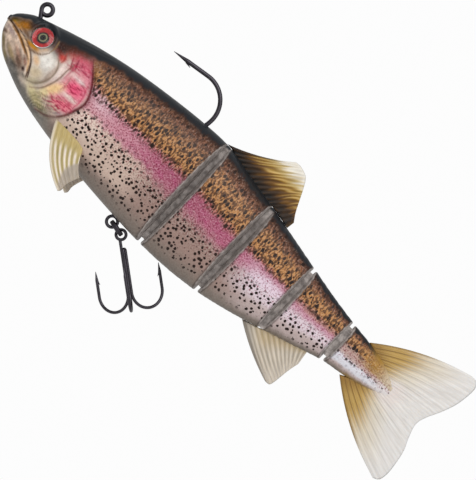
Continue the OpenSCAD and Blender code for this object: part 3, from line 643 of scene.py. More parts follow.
# Airbrush dabs on the head: place, reach along and across, turn in degrees, colour, strength
HEAD_DABS = [
    (1.5, -14.8, 8.5, 3.6, -27, "#EAD2BF", 1.0),
    (-5.0, -13.3, 1.7, 0.7, 5, "#5A3A2A", 0.9),
    (-3.0, -12.0, 2.4, 0.6, -15, "#C2ABA8", 0.8),
    (2.0, -17.2, 3.8, 0.9, -32, "#85703A", 0.75),
    (-3.0, -15.6, 2.8, 0.6, -42, "#74622A", 0.9),
    (1.0, -18.9, 3.8, 0.7, -34, "#6C5D2B", 0.9),
    (5.2, -17.0, 3.0, 1.4, -38, "#634534", 0.9),
    (3.2, -15.2, 2.4, 0.55, -30, "#C99F8C", 0.7),
    (7.0, -15.9, 1.6, 0.6, -42, "#8E5C4A", 0.8),
    (7.9, -17.9, 0.8, 0.6, -30, "#3C140C", 1.0),
    (5.0, -19.5, 3.0, 1.2, -25, "#544E48", 0.95),
    (8.8, -19.4, 1.6, 0.7, -20, "#837A70", 0.8),
    (-0.6, -7.7, 3.9, 2.0, 24, "#A56C10", 1.0),
    (-4.6, -8.9, 2.0, 1.0, 35, "#6E5A08", 1.0),
    (1.4, -9.5, 3.0, 0.7, -12, "#6A4212", 0.8),
    (-2.6, -9.5, 2.2, 0.45, -8, "#B37A2A", 0.75),
    (2.0, -5.6, 1.9, 1.8, 30, "#24100A", 0.95),
    (5.7, -6.9, 4.7, 4.5, 0, "#33100A", 0.95),
    (5.6, -11.0, 3.8, 0.75, 2, "#C48A36", 1.0),
    (9.4, -9.5, 1.5, 0.8, 50, "#B57C32", 0.95),
    (11.8, -5.3, 3.8, 3.5, -20, "#1E0C06", 1.0),
    (15.6, -3.2, 5.4, 2.4, 17, "#2E160C", 1.0),
    (12.6, -7.0, 2.4, 1.0, -5, "#6A2114", 0.85),
    (19.0, -0.6, 4.6, 1.6, 24, "#633522", 0.95),
    (18.2, -4.1, 3.8, 2.0, 18, "#B1574C", 0.9),
    (23.5, -1.9, 3.4, 2.2, 30, "#C1505C", 0.9),
    (22.3, -5.6, 4.8, 2.6, -12, "#CF5F77", 0.95),
    (22.6, -13.5, 5.4, 7.5, 5, "#F3BCC2", 0.75),
    (26.2, -11.0, 2.0, 6.0, 8, "#EC94A8", 0.7),
    (11.6, -11.6, 3.3, 3.2, 0, "#FCF8F0", 1.0),
    (9.3, -13.3, 1.8, 1.0, -35, "#F6D0A8", 0.9),
    (11.6, -16.2, 2.2, 1.9, 0, "#DCCBAE", 0.9),
    (12.5, -18.3, 2.3, 0.9, 25, "#C8BCA2", 0.85),
    (14.9, -7.6, 1.5, 1.3, 0, "#C8473F", 0.85),
    (18.8, -7.3, 1.1, 1.4, 0, "#B4264A", 0.8),
    (17.0, -11.4, 1.8, 4.3, 0, "#FBEAE2", 1.0),
    (15.3, -13.5, 0.7, 4.2, -4, "#A59283", 0.65),
    (23.6, -11.8, 3.5, 2.5, 0, "#F0728F", 1.0),
    (23.4, -9.0, 2.5, 0.65, 0, "#F0DCDA", 0.9),
    (24.6, -14.8, 2.8, 0.8, 0, "#F8EAE0", 0.95),
    (23.9, -17.7, 4.3, 2.2, 14, "#EC8494", 0.95),
    (19.0, -15.9, 1.7, 3.4, -38, "#FFDAA6", 0.9),
    (17.4, -18.9, 1.5, 1.6, -40, "#F4E4B4", 0.9),
    (16.6, -21.9, 5.2, 1.8, -22, "#D8CC9E", 0.95),
    (19.6, -22.9, 2.2, 0.8, 5, "#8C8246", 0.85),
    (24.6, -20.7, 2.0, 0.9, 40, "#AD979A", 0.8),
]
# Patches of red streaks on a gill cover: place, half width, half height, strength
GILL_STREAKS = [
    (23.8, -11.6, 3.9, 2.8, 1.0),
    (23.6, -18.1, 5.2, 2.5, 1.0),
    (21.0, -6.2, 5.2, 2.2, 0.75),
    (26.6, -11.0, 1.6, 6.0, 0.6),
]
# Lines drawn on the head: places, half width, colour, strength
HEAD_LINES = [
    (MOUTH, 0.46, "#4A2A0C", 1.0),
    ([(-3.5, -10.7), (0, -11.6), (2.8, -12.9), (5.6, -14.3)], 0.3, "#A87431", 0.85),
    (UPPER_JAW, 0.32, "#3C1D10", 1.0),
    ([(-0.5, -10.6), (2.6, -11.6), (5.2, -13.0), (7.6, -15.0), (9.2, -17.6)], 0.45, "#F6D2AC", 1.0),
    (CHEEK, 0.32, "#8F7D6A", 0.9),
    ([(10.4, -19.6), (13.4, -18.9), (15.3, -16.8)], 0.3, "#8F8470", 0.7),
    (BRIDLE, 0.3, "#8E7466", 0.95),
    ([(19.7, -6.8), (19.3, -9.6), (19.2, -12.0)], 0.25, "#B9707C", 0.8),
    ([(18.6, -4.4), (19.2, -6.0), (19.9, -7.4)], 0.28, "#7E2036", 0.9),
    ([(17.0, -5.2), (17.7, -6.7), (18.6, -8.3)], 0.25, "#8E2A3C", 0.85),
    ([(20.2, -4.4), (20.9, -5.8)], 0.22, "#84283C", 0.8),
    ([(20.4, -6.7), (22.4, -6.1), (24.4, -6.4)], 0.25, "#A23252", 0.85),
    ([(14.6, -5.6), (15.4, -7.4), (15.3, -8.8)], 0.3, "#A53A30", 0.8),
    ([(26.1, -8.8), (27.2, -11.5), (27.5, -14), (27.2, -16.4)], 0.25, "#C24A68", 0.8),
    (GILL_EDGE[:8], 0.4, "#551521", 0.95),
    (GILL_EDGE[6:], 0.35, "#6E4A45", 0.85),
    ([(3.6, -12.0), (6.4, -12.1), (9.0, -11.2), (10.7, -9.2)], 0.3, "#6A4420", 0.9),
    ([(10.3, -4.4), (10.9, -6.6), (10.7, -8.8)], 0.28, "#8A6A42", 0.8),
    ([(20.4, -9.2), (20.9, -12.0), (20.7, -14.6)], 0.22, "#B48A84", 0.7),
    ([(18.6, -19.4), (21.4, -17.6), (24.2, -16.3)], 0.22, "#A88672", 0.7),
]


# Depth of the dark band on the back, in mm, at places behind the line tie
BACK_BAND = ([-6, 3, 9, 18, 30, 60, 90, 115, 140], [1.8, 3.1, 4.6, 4.2, 3.4, 3.0, 2.2, 1.6, 1.2])


def flank_paint(x, z, rise, paint):
    """Airbrushed bands of the body from the belly to the back, with their changes along the body."""
    rgb = banded(
        rise,
        [
            (0.0, colour("#7F766E")),
            (0.07, tuple(paint.belly)),
            (0.2, tuple(paint.flank)),
            (0.36, tuple(paint.flank)),
            (0.48, tuple(paint.stripe)),
            (0.555, tuple(paint.stripe)),
            (0.635, tuple(paint.side)),
            (0.8, tuple(paint.side)),
            (0.87, colour("#8C5A3C")),
            (0.94, colour("#4A3A32")),
            (0.97, tuple(paint.back)),
            (1.2, tuple(paint.back)),
        ],
    )
    # Pale behind the gill cover, silver-lilac towards the tail, browner between
    low = step(0.62, 0.56, rise) * step(0.03, 0.14, rise)
    magenta = step(0.42, 0.47, rise) * step(0.62, 0.57, rise) * step(40, 55, x) * step(132, 120, x)
    lilac = step(96, 103, x) * step(113, 110, x) * step(0.38, 0.44, rise) * step(0.55, 0.49, rise)
    tail = step(130, 136, x)
    fade = step(146.5, 153.5, x)
    washes = [
        ("#DCC3B3", 0.9 * low * step(62, 50, x) * step(0.1, 0.2, rise) * step(0.47, 0.41, rise)),
        ("#F0DACB", 0.9 * low * step(45, 32, x) * step(0.2, 0.34, rise) * step(0.56, 0.44, rise)),
        ("#D795A4", 0.8 * step(60, 44, x) * step(0.4, 0.47, rise) * step(0.63, 0.58, rise)),
        ("#EAC3CC", 0.85 * step(42, 31, x) * step(0.48, 0.54, rise) * step(0.66, 0.62, rise)),
        ("#97505F", 0.45 * hump(x - 68, 16) * step(0.44, 0.5, rise) * step(0.64, 0.6, rise)),
        ("#B93A78", 0.4 * magenta * step(0.0, 0.9, ripple(x * 0.8, z * 1.7, 5))),
        ("#6E4632", 0.5 * step(76, 60, x) * step(0.74, 0.8, rise) * step(0.9, 0.86, rise)),
        ("#EEDFE8", 0.9 * low * step(91, 104, x) * step(0.18, 0.3, rise) * step(0.52, 0.4, rise)),
        ("#E0B6C6", 0.5 * step(91, 100, x) * step(0.4, 0.48, rise) * step(0.6, 0.56, rise)),
        ("#F5E4F2", 0.75 * lilac),
        ("#D6C4C2", 0.7 * low * step(91, 108, x) * step(0.34, 0.22, rise)),
        ("#B88470", 0.75 * step(108, 122, x) * step(0.5, 0.56, rise) * step(0.66, 0.61, rise)),
        ("#E9EAF2", 0.9 * tail * step(0.12, 0.2, rise) * step(0.42, 0.34, rise)),
        ("#BFA294", 0.8 * tail * step(0.34, 0.42, rise) * step(0.66, 0.6, rise)),
        ("#B48A3C", 0.85 * step(138, 147, x) * step(0.44, 0.56, rise)),
        ("#DCCDB4", 0.9 * fade * step(0.5, 0.6, rise)),
        ("#E9E2E0", 0.9 * fade * step(0.6, 0.5, rise)),
        ("#9C7A34", 0.7 * step(138, 142, x) * step(0.12, 0.04, rise)),
    ]
    return washed(rgb, washes)


def face_paint(x, z, belly, edge, cap, depth):
    """Dabs, folds and drawn lines of the head, in the order that they are painted.

    edge is the distance from the gill cover's edge, cap the distance below the back, and depth
    that of the dark band.
    """
    face = np.array(colour("#D9CCBF"))
    for px, pz, along_it, across_it, turn, code, strength in HEAD_DABS:
        c = math.cos(math.radians(turn))
        s = math.sin(math.radians(turn))
        u = ((x - px) * c + (z - pz) * s) / along_it
        v = (-(x - px) * s + (z - pz) * c) / across_it
        face = mix(face, colour(code), strength * np.exp(-((u * u + v * v) ** 1.6)))
    washes = [
        ("#7B7771", step(3.4, 1.6, z - belly + 0.3 * ripple(x, z, 4)) * step(0, 4, x)),
        ("#8F8B84", step(4.6, 3.6, z - belly) * step(18, 22, x)),
        ("#35190E", 0.7 * step(depth * 1.7, depth * 1.1, cap) * step(30, 20, x)),
    ]
    for points, width, code, strength in HEAD_LINES:
        gap, run = from_line(points, x, z)
        thin = width * (0.35 + 0.65 * np.sin(math.pi * np.clip(run * 0.9 + 0.07, 0, 1)))
        washes.append((code, strength * hump(gap, thin)))
    fold = np.sin(fold_turn(edge, x) + 0.5 * ripple(x * 0.8, z, 6))
    folded = step(-18.2, -19.6, z) * step(-25.0, -23.0, z) * step(13.5, 17, x) * step(26, 23, x)
    washes.append(("#6F6648", 0.65 * folded * step(0.1, 0.95, fold)))
    washes.append(("#F3E8C8", 0.6 * folded * step(-0.2, -0.95, fold)))
    face = washed(face, washes)
    # The clear coat greys the colours under it, so they are laid on a little stronger
    grey = face.mean(axis=1, keepdims=True)
    return np.clip(grey + 1.18 * (face - grey), 0.004, 1)


def body_paint(x, y, z):
    """Airbrushed colour with painted shade round the joints' lips, and the places of the marks, for every
    corner of a skin.
    """
    paint = bpy.context.scene.swimbait_colours
    back, belly, _ = outline(np.clip(x, NOSE_X, PEDUNCLE_X))
    rise = np.clip((z - belly) / np.maximum(back - belly, 0.5), 0, 1)
    rise = rise + 0.012 * ripple(x * 1.1, z * 0.9, 0.3)
    # Behind the head the back is a thin dark band, and on the head it is a deeper cap
    cap = back - z + 0.35 * ripple(x * 0.9, 3.0, 1.0)
    depth = np.interp(x, *BACK_BAND)
    # The head's paint ends at the gill cover's edge
    head = step(31.0, 29.0, x + 0.25 * (z + 13))
    edge, run = from_line(GILL_EDGE, x, z)
    on_head = np.where(x < 20.5, 1.0, step(0.4, -0.3, edge)) * step(31, 30, x)
    throat = (z < -21.5) & (x > 20.5) & (x < 27)
    on_head = np.where(throat, step(27, 20, x), on_head)
    on_head = np.maximum(on_head, step(23, 21, x))
    rgb = mix(flank_paint(x, z, rise, paint), face_paint(x, z, belly, edge, cap, depth), on_head * head)
    rim = step(0, 0.12, run) * (1 - 0.6 * step(0.55, 0.8, run))
    # The pink of the gill cover spills a little onto the body behind it
    flush = (1 - on_head) * step(32.5, 28.5, x) * step(-4.5, -7.5, z) * step(-20, -8, z)
    flush *= step(0.2, 0.6, edge)
    rgb = washed(rgb, [("#6A1424", rim * hump(edge + 0.1, 0.5)), ("#D58C98", 0.55 * flush)])
    rgb = mix(rgb, paint.back, step(depth * 1.08, depth * 0.72, cap) * step(146, 139, x))
    # A dark line of painted shade runs round the lips of the joints, where the grooves' shadow falls
    for joint, (joint_x, _) in enumerate(JOINTS):
        close = step(1, 0, np.abs(x - joint_x) / 9)
        for way in (-1, 1):
            wear_and_shade = hump(off_joint(joint, way, x, y) - 0.38, 0.3)
            rgb = mix(rgb, colour("#332A27"), 0.7 * wear_and_shade * close)
    plain = np.maximum(1 - head, 1 - on_head)
    marks = np.zeros((len(x), 3))
    marks[:, 0] = plain * step(0.535, 0.6, rise) * step(depth * 0.5, depth * 0.9, cap) * step(22, 27, x)
    marks[:, 0] *= (1 - 0.75 * step(138, 147, x)) * (1 - 0.08 * step(0.72, 0.8, rise))
    dots = step(0.06, 0.11, rise) * step(0.62, 0.5, rise + 0.06 * step(60, 70, x) + 0.1 * step(70, 60, x))
    dots *= 1 - 0.85 * step(0.36, 0.44, rise) * step(44, 62, x)
    marks[:, 1] = plain * dots * step(27, 29, x) * (1 - 0.8 * step(130, 136, x) * step(0.36, 0.3, rise))
    marks[:, 2] = 0.2 + 0.8 * plain * step(0.24, 0.34, rise) * (1 - 0.45 * step(0.6, 0.66, rise))
    marks[:, 2] *= step(depth * 0.8, depth * 1.3, cap)
    extras = np.zeros((len(x), 3))
    for px, pz, width, height, strength in GILL_STREAKS:
        reach = ((x - px) / width) ** 2 + ((z - pz - 0.2 * (x - px)) / height) ** 2
        extras[:, 0] = np.maximum(extras[:, 0], strength * np.exp(-(reach**1.5)))
    extras[:, 0] *= on_head * step(0.3, -0.6, edge)
    jaw = step(-9, -12, z + 0.55 * x) * step(11, 8, x)
    snout = step(4, 1, x) * (1 - jaw)
    chin = step(-18, -21, z) * step(8, 12, x)
    extras[:, 2] = on_head * head * np.clip(0.3 + 0.5 * jaw + 0.35 * snout + 0.3 * chin, 0, 1)
    extras[:, 2] *= step(depth * 0.7, depth * 1.2, cap)
    return rgb, marks, extras


def paint_skin(obj, bare):
    """Stores a skin's paint, with the share of each corner that is left bare."""
    x, y, z = places(obj)
    rgb, marks, extras = body_paint(x, y, z)
    extras[:, 1] = bare(x, y, z)
    store(obj, "paint", rgb)
    store(obj, "marks", marks)
    store(obj, "extras", extras)


# Rows of a skin that turn round a lip, and rows that close over the face inside it
LIP_ROWS = 5
CAP_ROWS = 6
END_ROWS = LIP_ROWS + CAP_ROWS
# Radius of the rounded nose and of the tail's root
TIP_RADIUS = 0.35


def body_skin(front, rear, columns, rings, lip, spread=None):
    """Closed skin between two joints, or from the nose or to the tail's root where a joint is None."""
    total = columns + 2 * END_ROWS

    def place(u, v):
        k = np.rint(u * total).astype(int)
        angle = (v - 0.25) * 2 * math.pi
        start = np.full(u.shape, NOSE_X) if front is None else meets_face(front, 1, angle, lip)
        end = np.full(u.shape, PEDUNCLE_X) if rear is None else meets_face(rear, -1, angle, lip)
        share = np.clip((k - END_ROWS) / columns, 0, 1)
        if spread:
            share = spread(share)
        x = start + share * (end - start)
        y, z = ring_point(x, angle)
        back, belly, _ = outline(x)
        middle = belly + WIDEST * (back - belly)
        for joint, way, row in ((front, 1, END_ROWS - k), (rear, -1, k - columns - END_ROWS)):
            r = TIP_RADIUS if joint is None else lip
            turn = np.clip(row / LIP_ROWS, 0, 1) * math.pi / 2
            shut = np.clip((row - LIP_ROWS) / CAP_ROWS, 0, 1)
            inset = r * (1 - np.cos(turn))
            size = np.hypot(y, z - middle) + 1e-9
            near_y = y * (1 - inset / size) * (1 - shut)
            near_z = z - (z - middle) * inset / size
            if joint is None:
                near_z = middle + (near_z - middle) * (1 - shut)
                edge_x = x - way * r * np.sin(turn)
            else:
                edge_x = face_x(joint, way, near_y) + way * r * (1 - np.sin(turn))
            past = row > 0
            x = np.where(past, edge_x, x)
            y = np.where(past, near_y, y)
            z = np.where(past, near_z, z)
        return np.stack([x, y, z], -1)

    return warped_grid(total, rings, place)


def bare_faces(front, rear):
    """Share of bare plastic, high on the faces of the joints at a section's ends."""

    def bare(x, y, z):
        amount = np.zeros(len(x))
        for joint, way in ((front, 1), (rear, -1)):
            if joint is not None:
                off = off_joint(joint, way, x, y) + 0.1 * ripple(x * 3, z * 2, joint)
                amount = np.maximum(amount, step(0.34, 0.08, off))
        return amount

    return bare


# ---------------------------------------------------------------- fins


# Height of the dorsal fin's top above the line tie
DORSAL_TOP = 18.5


def ray_wave(rays, across, out):
    """Wave that is 1 on a fin's moulded rays and -1 between them."""
    return np.cos(2 * math.pi * rays * across + 0.35 * ripple(across * 9, out * 2, 5))


def out_share(u, v):
    """Share of the way from a fin's root to its tip, up one face for half of v and down the other."""
    return np.where(v < 0.5, 2 * v, 2 - 2 * v)


def fin_skin(
    columns, rows, roots, tips, thickness, rays, ray_height, bulge, rim, root_depth=0.0, set_out=None
):
    """Closed fin between a line of roots and a line of tips, with moulded rays on both faces.

    The first share runs across the rays. bulge bows each ray sideways in the fin's own plane, by
    its share, and set_out turns the flat fin's x, y and z into its place on the lure.
    """

    def place(u, v):
        side = np.where(v < 0.5, 1.0, -1.0)
        out = out_share(u, v)
        root = along(roots, u)
        run = along(tips, u) - root
        heading = run / np.linalg.norm(run, axis=1)[:, None]
        square = np.stack([-heading[:, 1], heading[:, 0]], -1)
        here = root + run * out[:, None] - heading * (root_depth * (1 - out) ** 8)[:, None]
        here = here + square * (bulge(u) * 4 * out * (1 - out))[:, None]
        edges = np.clip(1 - np.abs(2 * u - 1) ** 24, 0, 1) ** 0.5
        tip_end = np.clip(1 - (2 * np.clip(out, 0.5, 1) - 1) ** 30, 0, 1) ** 0.5
        root_end = np.clip(out / 0.02, 0, 1) ** 0.5
        half = thickness / 2 * (1 - out) ** 0.7 + rim
        wave = 0.5 + 0.5 * ray_wave(rays, u, out)
        half = half + ray_height * wave * np.clip(out / 0.1, 0, 1) * (1 - 0.5 * out)
        y = side * half * edges * (tip_end * root_end)
        if set_out:
            return set_out(here[:, 0], y, here[:, 1])
        return np.stack([here[:, 0], y, here[:, 1]], -1)

    return warped_grid(columns, 2 * rows, place, [("across", lambda u, v: u), ("out", out_share)])


def fin_shares(obj):
    """For each corner of a fin, its share across the rays and its share of the way out."""
    across = np.array([d.value for d in obj.data.attributes["across"].data])
    out = np.array([d.value for d in obj.data.attributes["out"].data])
    return across, out


def paint_fin(obj, rgb):
    """Stores a fin's paint and its ray shares."""
    across, out = fin_shares(obj)
    store(obj, "paint", rgb)
    store(obj, "rays", np.stack([across, out, np.zeros(len(out))], -1))


def dorsal_colours(x, z, across, out, paint):
    """Black root, then brown and gold with slanting streaks, and a whitish top."""
    back = outline(x)[0]
    wave = np.sin(2 * math.pi * DORSAL_RAYS * across + 2.6 * ripple(across * 19, out * 4, 2))
    level = (z - back) / (DORSAL_TOP - back) + 0.05 * wave + 0.05 * ripple(across * 27, out * 7, 1)
    rgb = banded(
        level,
        [
            (0.08, colour("#100B08")),
            (0.2, colour("#3A240C")),
            (0.34, colour("#7A5218")),
            (0.52, colour("#B48A38")),
            (0.68, colour("#CDB478")),
            (0.82, tuple(paint.fin_tips)),
        ],
    )
    washes = [
        ("#E6CB88", 0.4 * step(0.2, 0.95, wave) * step(0.3, 0.5, level) * step(0.8, 0.6, level)),
        ("#4A2E0D", 0.45 * step(0.2, -0.9, wave) * step(0.75, 0.45, level)),
        ("#6E5024", 0.6 * step(0.95, 1.0, across) * step(0.9, 0.7, level)),
        ("#231509", 0.8 * step(0.1, 0.02, across) * step(0.85, 0.6, level)),
    ]
    return washed(rgb, washes)


def anal_colours(across, out, paint):
    """Grey-beige rays with cream grooves."""
    wave = ray_wave(ANAL_RAYS, across, out)
    washes = [
        ("#A3957C", 0.6 * step(0.1, -0.9, wave) * step(0.95, 0.6, out)),
        ("#E8DCC6", 0.6 * step(0.3, 0.95, wave)),
        ("#8D857C", 0.8 * step(0.14, 0.03, across)),
        ("#C3A463", 0.45 * step(0.5, 0.15, out) * step(0.1, 0.3, across)),
    ]
    return washed(np.array(paint.fin_cream), washes)


def caudal_colours(across, out, paint):
    """Gold-brown root with dark lines, fading to clear grey-white."""
    wave = ray_wave(CAUDAL_RAYS, across, out)
    # A dark line on every other ray
    thin = np.cos(math.pi * CAUDAL_RAYS * across + 0.5 * ripple(across * 13, out, 3))
    lobes = np.abs(2 * across - 1)
    reach = 0.2 + 0.24 * step(0.35, 0.85, lobes) - 0.1 * step(0.4, 0.1, lobes)
    gold = step(reach + 0.16, reach - 0.16, out + 0.04 * wave)
    lined = step(0.97, 0.4, out) * step(0.05, 0.25, lobes)
    washes = [
        ("#DDCFB2", 0.8 * step(reach + 0.5, reach, out) * step(0.15, 0.4, lobes)),
        ("#C09A48", 0.9 * gold),
        ("#8A6224", 0.7 * step(0.22, 0.02, out) * step(0.3, 0.6, lobes)),
        ("#7A5A2A", 0.75 * gold * lined * step(0.6, 0.98, thin)),
        ("#A0968A", 0.45 * (1 - gold) * lined * step(0.7, 0.99, thin)),
        ("#D6CFC9", 0.25 * (1 - gold) * step(0.0, -0.9, wave)),
        ("#E6DAD4", 0.7 * step(0.42, 0.1, lobes) * step(0.62, 0.3, out)),
        ("#8E7038", 0.8 * step(0.93, 0.995, lobes) * step(0.75, 0.5, out)),
    ]
    return washed(np.array(paint.tail_clear), washes)


def pectoral_colours(across, out, paint):
    """Curved cream ribs over yellow-olive, and a plain grey-beige outer part."""
    wave = ray_wave(PECTORAL_RAYS, across, out)
    washes = [
        ("#F3E6D8", 0.95 * step(-0.1, 0.7, wave) * step(0.16, 0.34, out)),
        ("#9A8A4C", 0.6 * step(-0.55, -0.95, wave) * step(0.1, 0.3, out)),
        ("#C9B172", 0.7 * step(0.34, 0.1, out)),
        ("#B5A89A", 0.92 * step(0.88, 1.0, out + 0.45 * across)),
        ("#F1E3CF", 0.85 * step(0.12, 0.02, across)),
    ]
    return washed(np.array(paint.fin_olive), washes)


# ---------------------------------------------------------------- properties


class SwimbaitSizes(bpy.types.PropertyGroup):
    """Sizes of the visual model, in metres."""

    lip: bpy.props.FloatProperty(
        name="Joint lip", description="Radius of the rounded edge round each joint's face",
        default=0.55 * MM, min=0.1 * MM, max=1.2 * MM, unit="LENGTH", precision=5,
    )
    fin_thickness: bpy.props.FloatProperty(
        name="Fin thickness", description="Thickness of the dorsal and anal fins at their roots",
        default=1.1 * MM, min=0.6 * MM, max=2.2 * MM, unit="LENGTH", precision=5,
    )
    tail_thickness: bpy.props.FloatProperty(
        name="Tail fin thickness", description="Thickness of the tail fin at its root",
        default=1.0 * MM, min=0.5 * MM, max=2 * MM, unit="LENGTH", precision=5,
    )
    pectoral_thickness: bpy.props.FloatProperty(
        name="Pectoral thickness", description="Thickness of each pectoral fin at its root",
        default=0.9 * MM, min=0.5 * MM, max=1.6 * MM, unit="LENGTH", precision=5,
    )
    ray_height: bpy.props.FloatProperty(
        name="Ray height", description="Height of the moulded rays on each face of a fin",
        default=0.16 * MM, min=0.0, max=0.4 * MM, unit="LENGTH", precision=5,
    )
    web_half_thickness: bpy.props.FloatProperty(
        name="Web half thickness", description="Half the thickness of the soft web in each joint",
        default=1.5 * MM, min=0.8 * MM, max=2.5 * MM, unit="LENGTH", precision=5,
    )
    floor_drop: bpy.props.FloatProperty(
        name="Floor drop", description="Height of the line tie above the floor",
        default=150 * MM, min=70 * MM, max=300 * MM, unit="LENGTH", precision=4,
    )


class SwimbaitColours(bpy.types.PropertyGroup):
    """Colours of the paints, plastics and plating."""

    back: bpy.props.FloatVectorProperty(
        name="Back", description="Blue-black along the back", subtype="COLOR",
        default=colour("#1C2025"),
    )
    side: bpy.props.FloatVectorProperty(
        name="Side", description="Orange-brown under the back", subtype="COLOR",
        default=colour("#C48C52"),
    )
    stripe: bpy.props.FloatVectorProperty(
        name="Stripe", description="Pink stripe along the flank", subtype="COLOR",
        default=colour("#BC6482"),
    )
    flank: bpy.props.FloatVectorProperty(
        name="Flank", description="Beige-mauve under the stripe", subtype="COLOR",
        default=colour("#A68A80"),
    )
    belly: bpy.props.FloatVectorProperty(
        name="Belly", description="Grey-brown of the belly", subtype="COLOR",
        default=colour("#8E8076"),
    )
    spots: bpy.props.FloatVectorProperty(
        name="Spots", description="Black-brown spots", subtype="COLOR",
        default=colour("#22110A"),
    )
    gill_streaks: bpy.props.FloatVectorProperty(
        name="Gill streaks", description="Streaks on the gill covers", subtype="COLOR",
        default=colour("#B81C48"),
    )
    bare_plastic: bpy.props.FloatVectorProperty(
        name="Bare plastic", description="Grey of the unpainted joints", subtype="COLOR",
        default=colour("#C4BBB6"),
    )
    fin_tips: bpy.props.FloatVectorProperty(
        name="Dorsal tip", description="Whitish top of the dorsal fin", subtype="COLOR",
        default=colour("#F2EADC"),
    )
    fin_cream: bpy.props.FloatVectorProperty(
        name="Anal fin", description="Cream of the anal fin", subtype="COLOR",
        default=colour("#D0C5B8"),
    )
    fin_olive: bpy.props.FloatVectorProperty(
        name="Pectoral fins", description="Olive of the pectoral fins", subtype="COLOR",
        default=colour("#C8B684"),
    )
    tail_clear: bpy.props.FloatVectorProperty(
        name="Tail fin", description="Clear grey-white of the tail fin", subtype="COLOR",
        default=colour("#E9E5E1"),
    )
    black_nickel: bpy.props.FloatVectorProperty(
        name="Black nickel", description="Plating of the hooks and wires", subtype="COLOR",
        default=colour("#37363A"),
    )


# ---------------------------------------------------------------- operators


class SWIMBAIT_OT_head(bpy.types.Operator):
    """Sculpts and paints the head and the front of the body"""

    bl_idname = "swimbait.head"
    bl_label = "Head"

    def execute(self, context):
        lip = context.scene.swimbait_sizes.lip / MM

        def dense_front(share):
            # Two thirds of the columns go to the front half, where the face is
            return 0.52 * share + 0.48 * share**2.6

        bm = body_skin(None, 0, 276, 248, lip, dense_front)
        x, y, z = corners(bm).T
        # The socket's rim is drawn onto a true circle, a little outside the foil
        rim = EYE_RADIUS + 0.05
        reach = from_eye(x, z)
        at_rim = (reach > EYE_RADIUS - 0.1) & (reach < EYE_RADIUS + 0.22)
        for v, near, r, side in zip(bm.verts, at_rim, reach, np.sign(y)):
            if near:
                vx = EYE_PLACE[0] + (v.co.x / MM - EYE_PLACE[0]) * rim / r
                vz = EYE_PLACE[1] + (v.co.z / MM - EYE_PLACE[1]) * rim / r
                v.co = (vx * MM, side * float(flank_y(vx, vz)) * MM, vz * MM)
        x, y, z = corners(bm).T
        reach = from_eye(x, z)
        half = outline(np.clip(x, NOSE_X, PEDUNCLE_X))[2]
        # The modelling fades out where the two flanks meet under the chin and over the back
        sideways = step(0.12, 0.5, np.abs(y) / np.maximum(half, 0.1))
        relief = head_relief(x, z) * (0.35 + 0.65 * sideways) * step(34, 31, x)
        # Round the rim it dies away, and the socket's floor goes down behind the foil
        brow = EYE_RADIUS + 0.4
        relief = np.where(reach < brow, relief * step(EYE_RADIUS, brow, reach), relief)
        relief = np.where(reach < EYE_RADIUS - 0.08, -SOCKET_DEPTH - 0.05, relief)
        push_out(bm, relief)
        obj = finished("head_skin", bm, painted_plastic(context.scene.swimbait_colours))
        paint_skin(obj, bare_faces(None, 0))
        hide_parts("head_section")
        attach(obj, "head")
        return {"FINISHED"}


class SWIMBAIT_OT_sections(bpy.types.Operator):
    """Builds and paints the three middle sections and the tail's root"""

    bl_idname = "swimbait.sections"
    bl_label = "Body sections"

    def execute(self, context):
        lip = context.scene.swimbait_sizes.lip / MM
        material = bpy.data.materials["painted_plastisol"]
        parts = [
            ("body_skin_2", "body_section_2", "second_section", 0, 1, 90, 176),
            ("body_skin_3", "body_section_3", "third_section", 1, 2, 90, 168),
            ("body_skin_4", "body_section_4", "fourth_section", 2, 3, 84, 152),
            ("tail_skin", "tail_section", "tail", 3, None, 96, 128),
        ]
        for name, node, body, front, rear, columns, rings in parts:
            bm = body_skin(front, rear, columns, rings, lip)
            x, _, z = corners(bm).T
            push_out(bm, 0.04 * ripple(x * 1.7, z * 1.9, 3.0))
            obj = finished(name, bm, material)
            paint_skin(obj, bare_faces(front, rear))
            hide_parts(node)
            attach(obj, body)
        return {"FINISHED"}


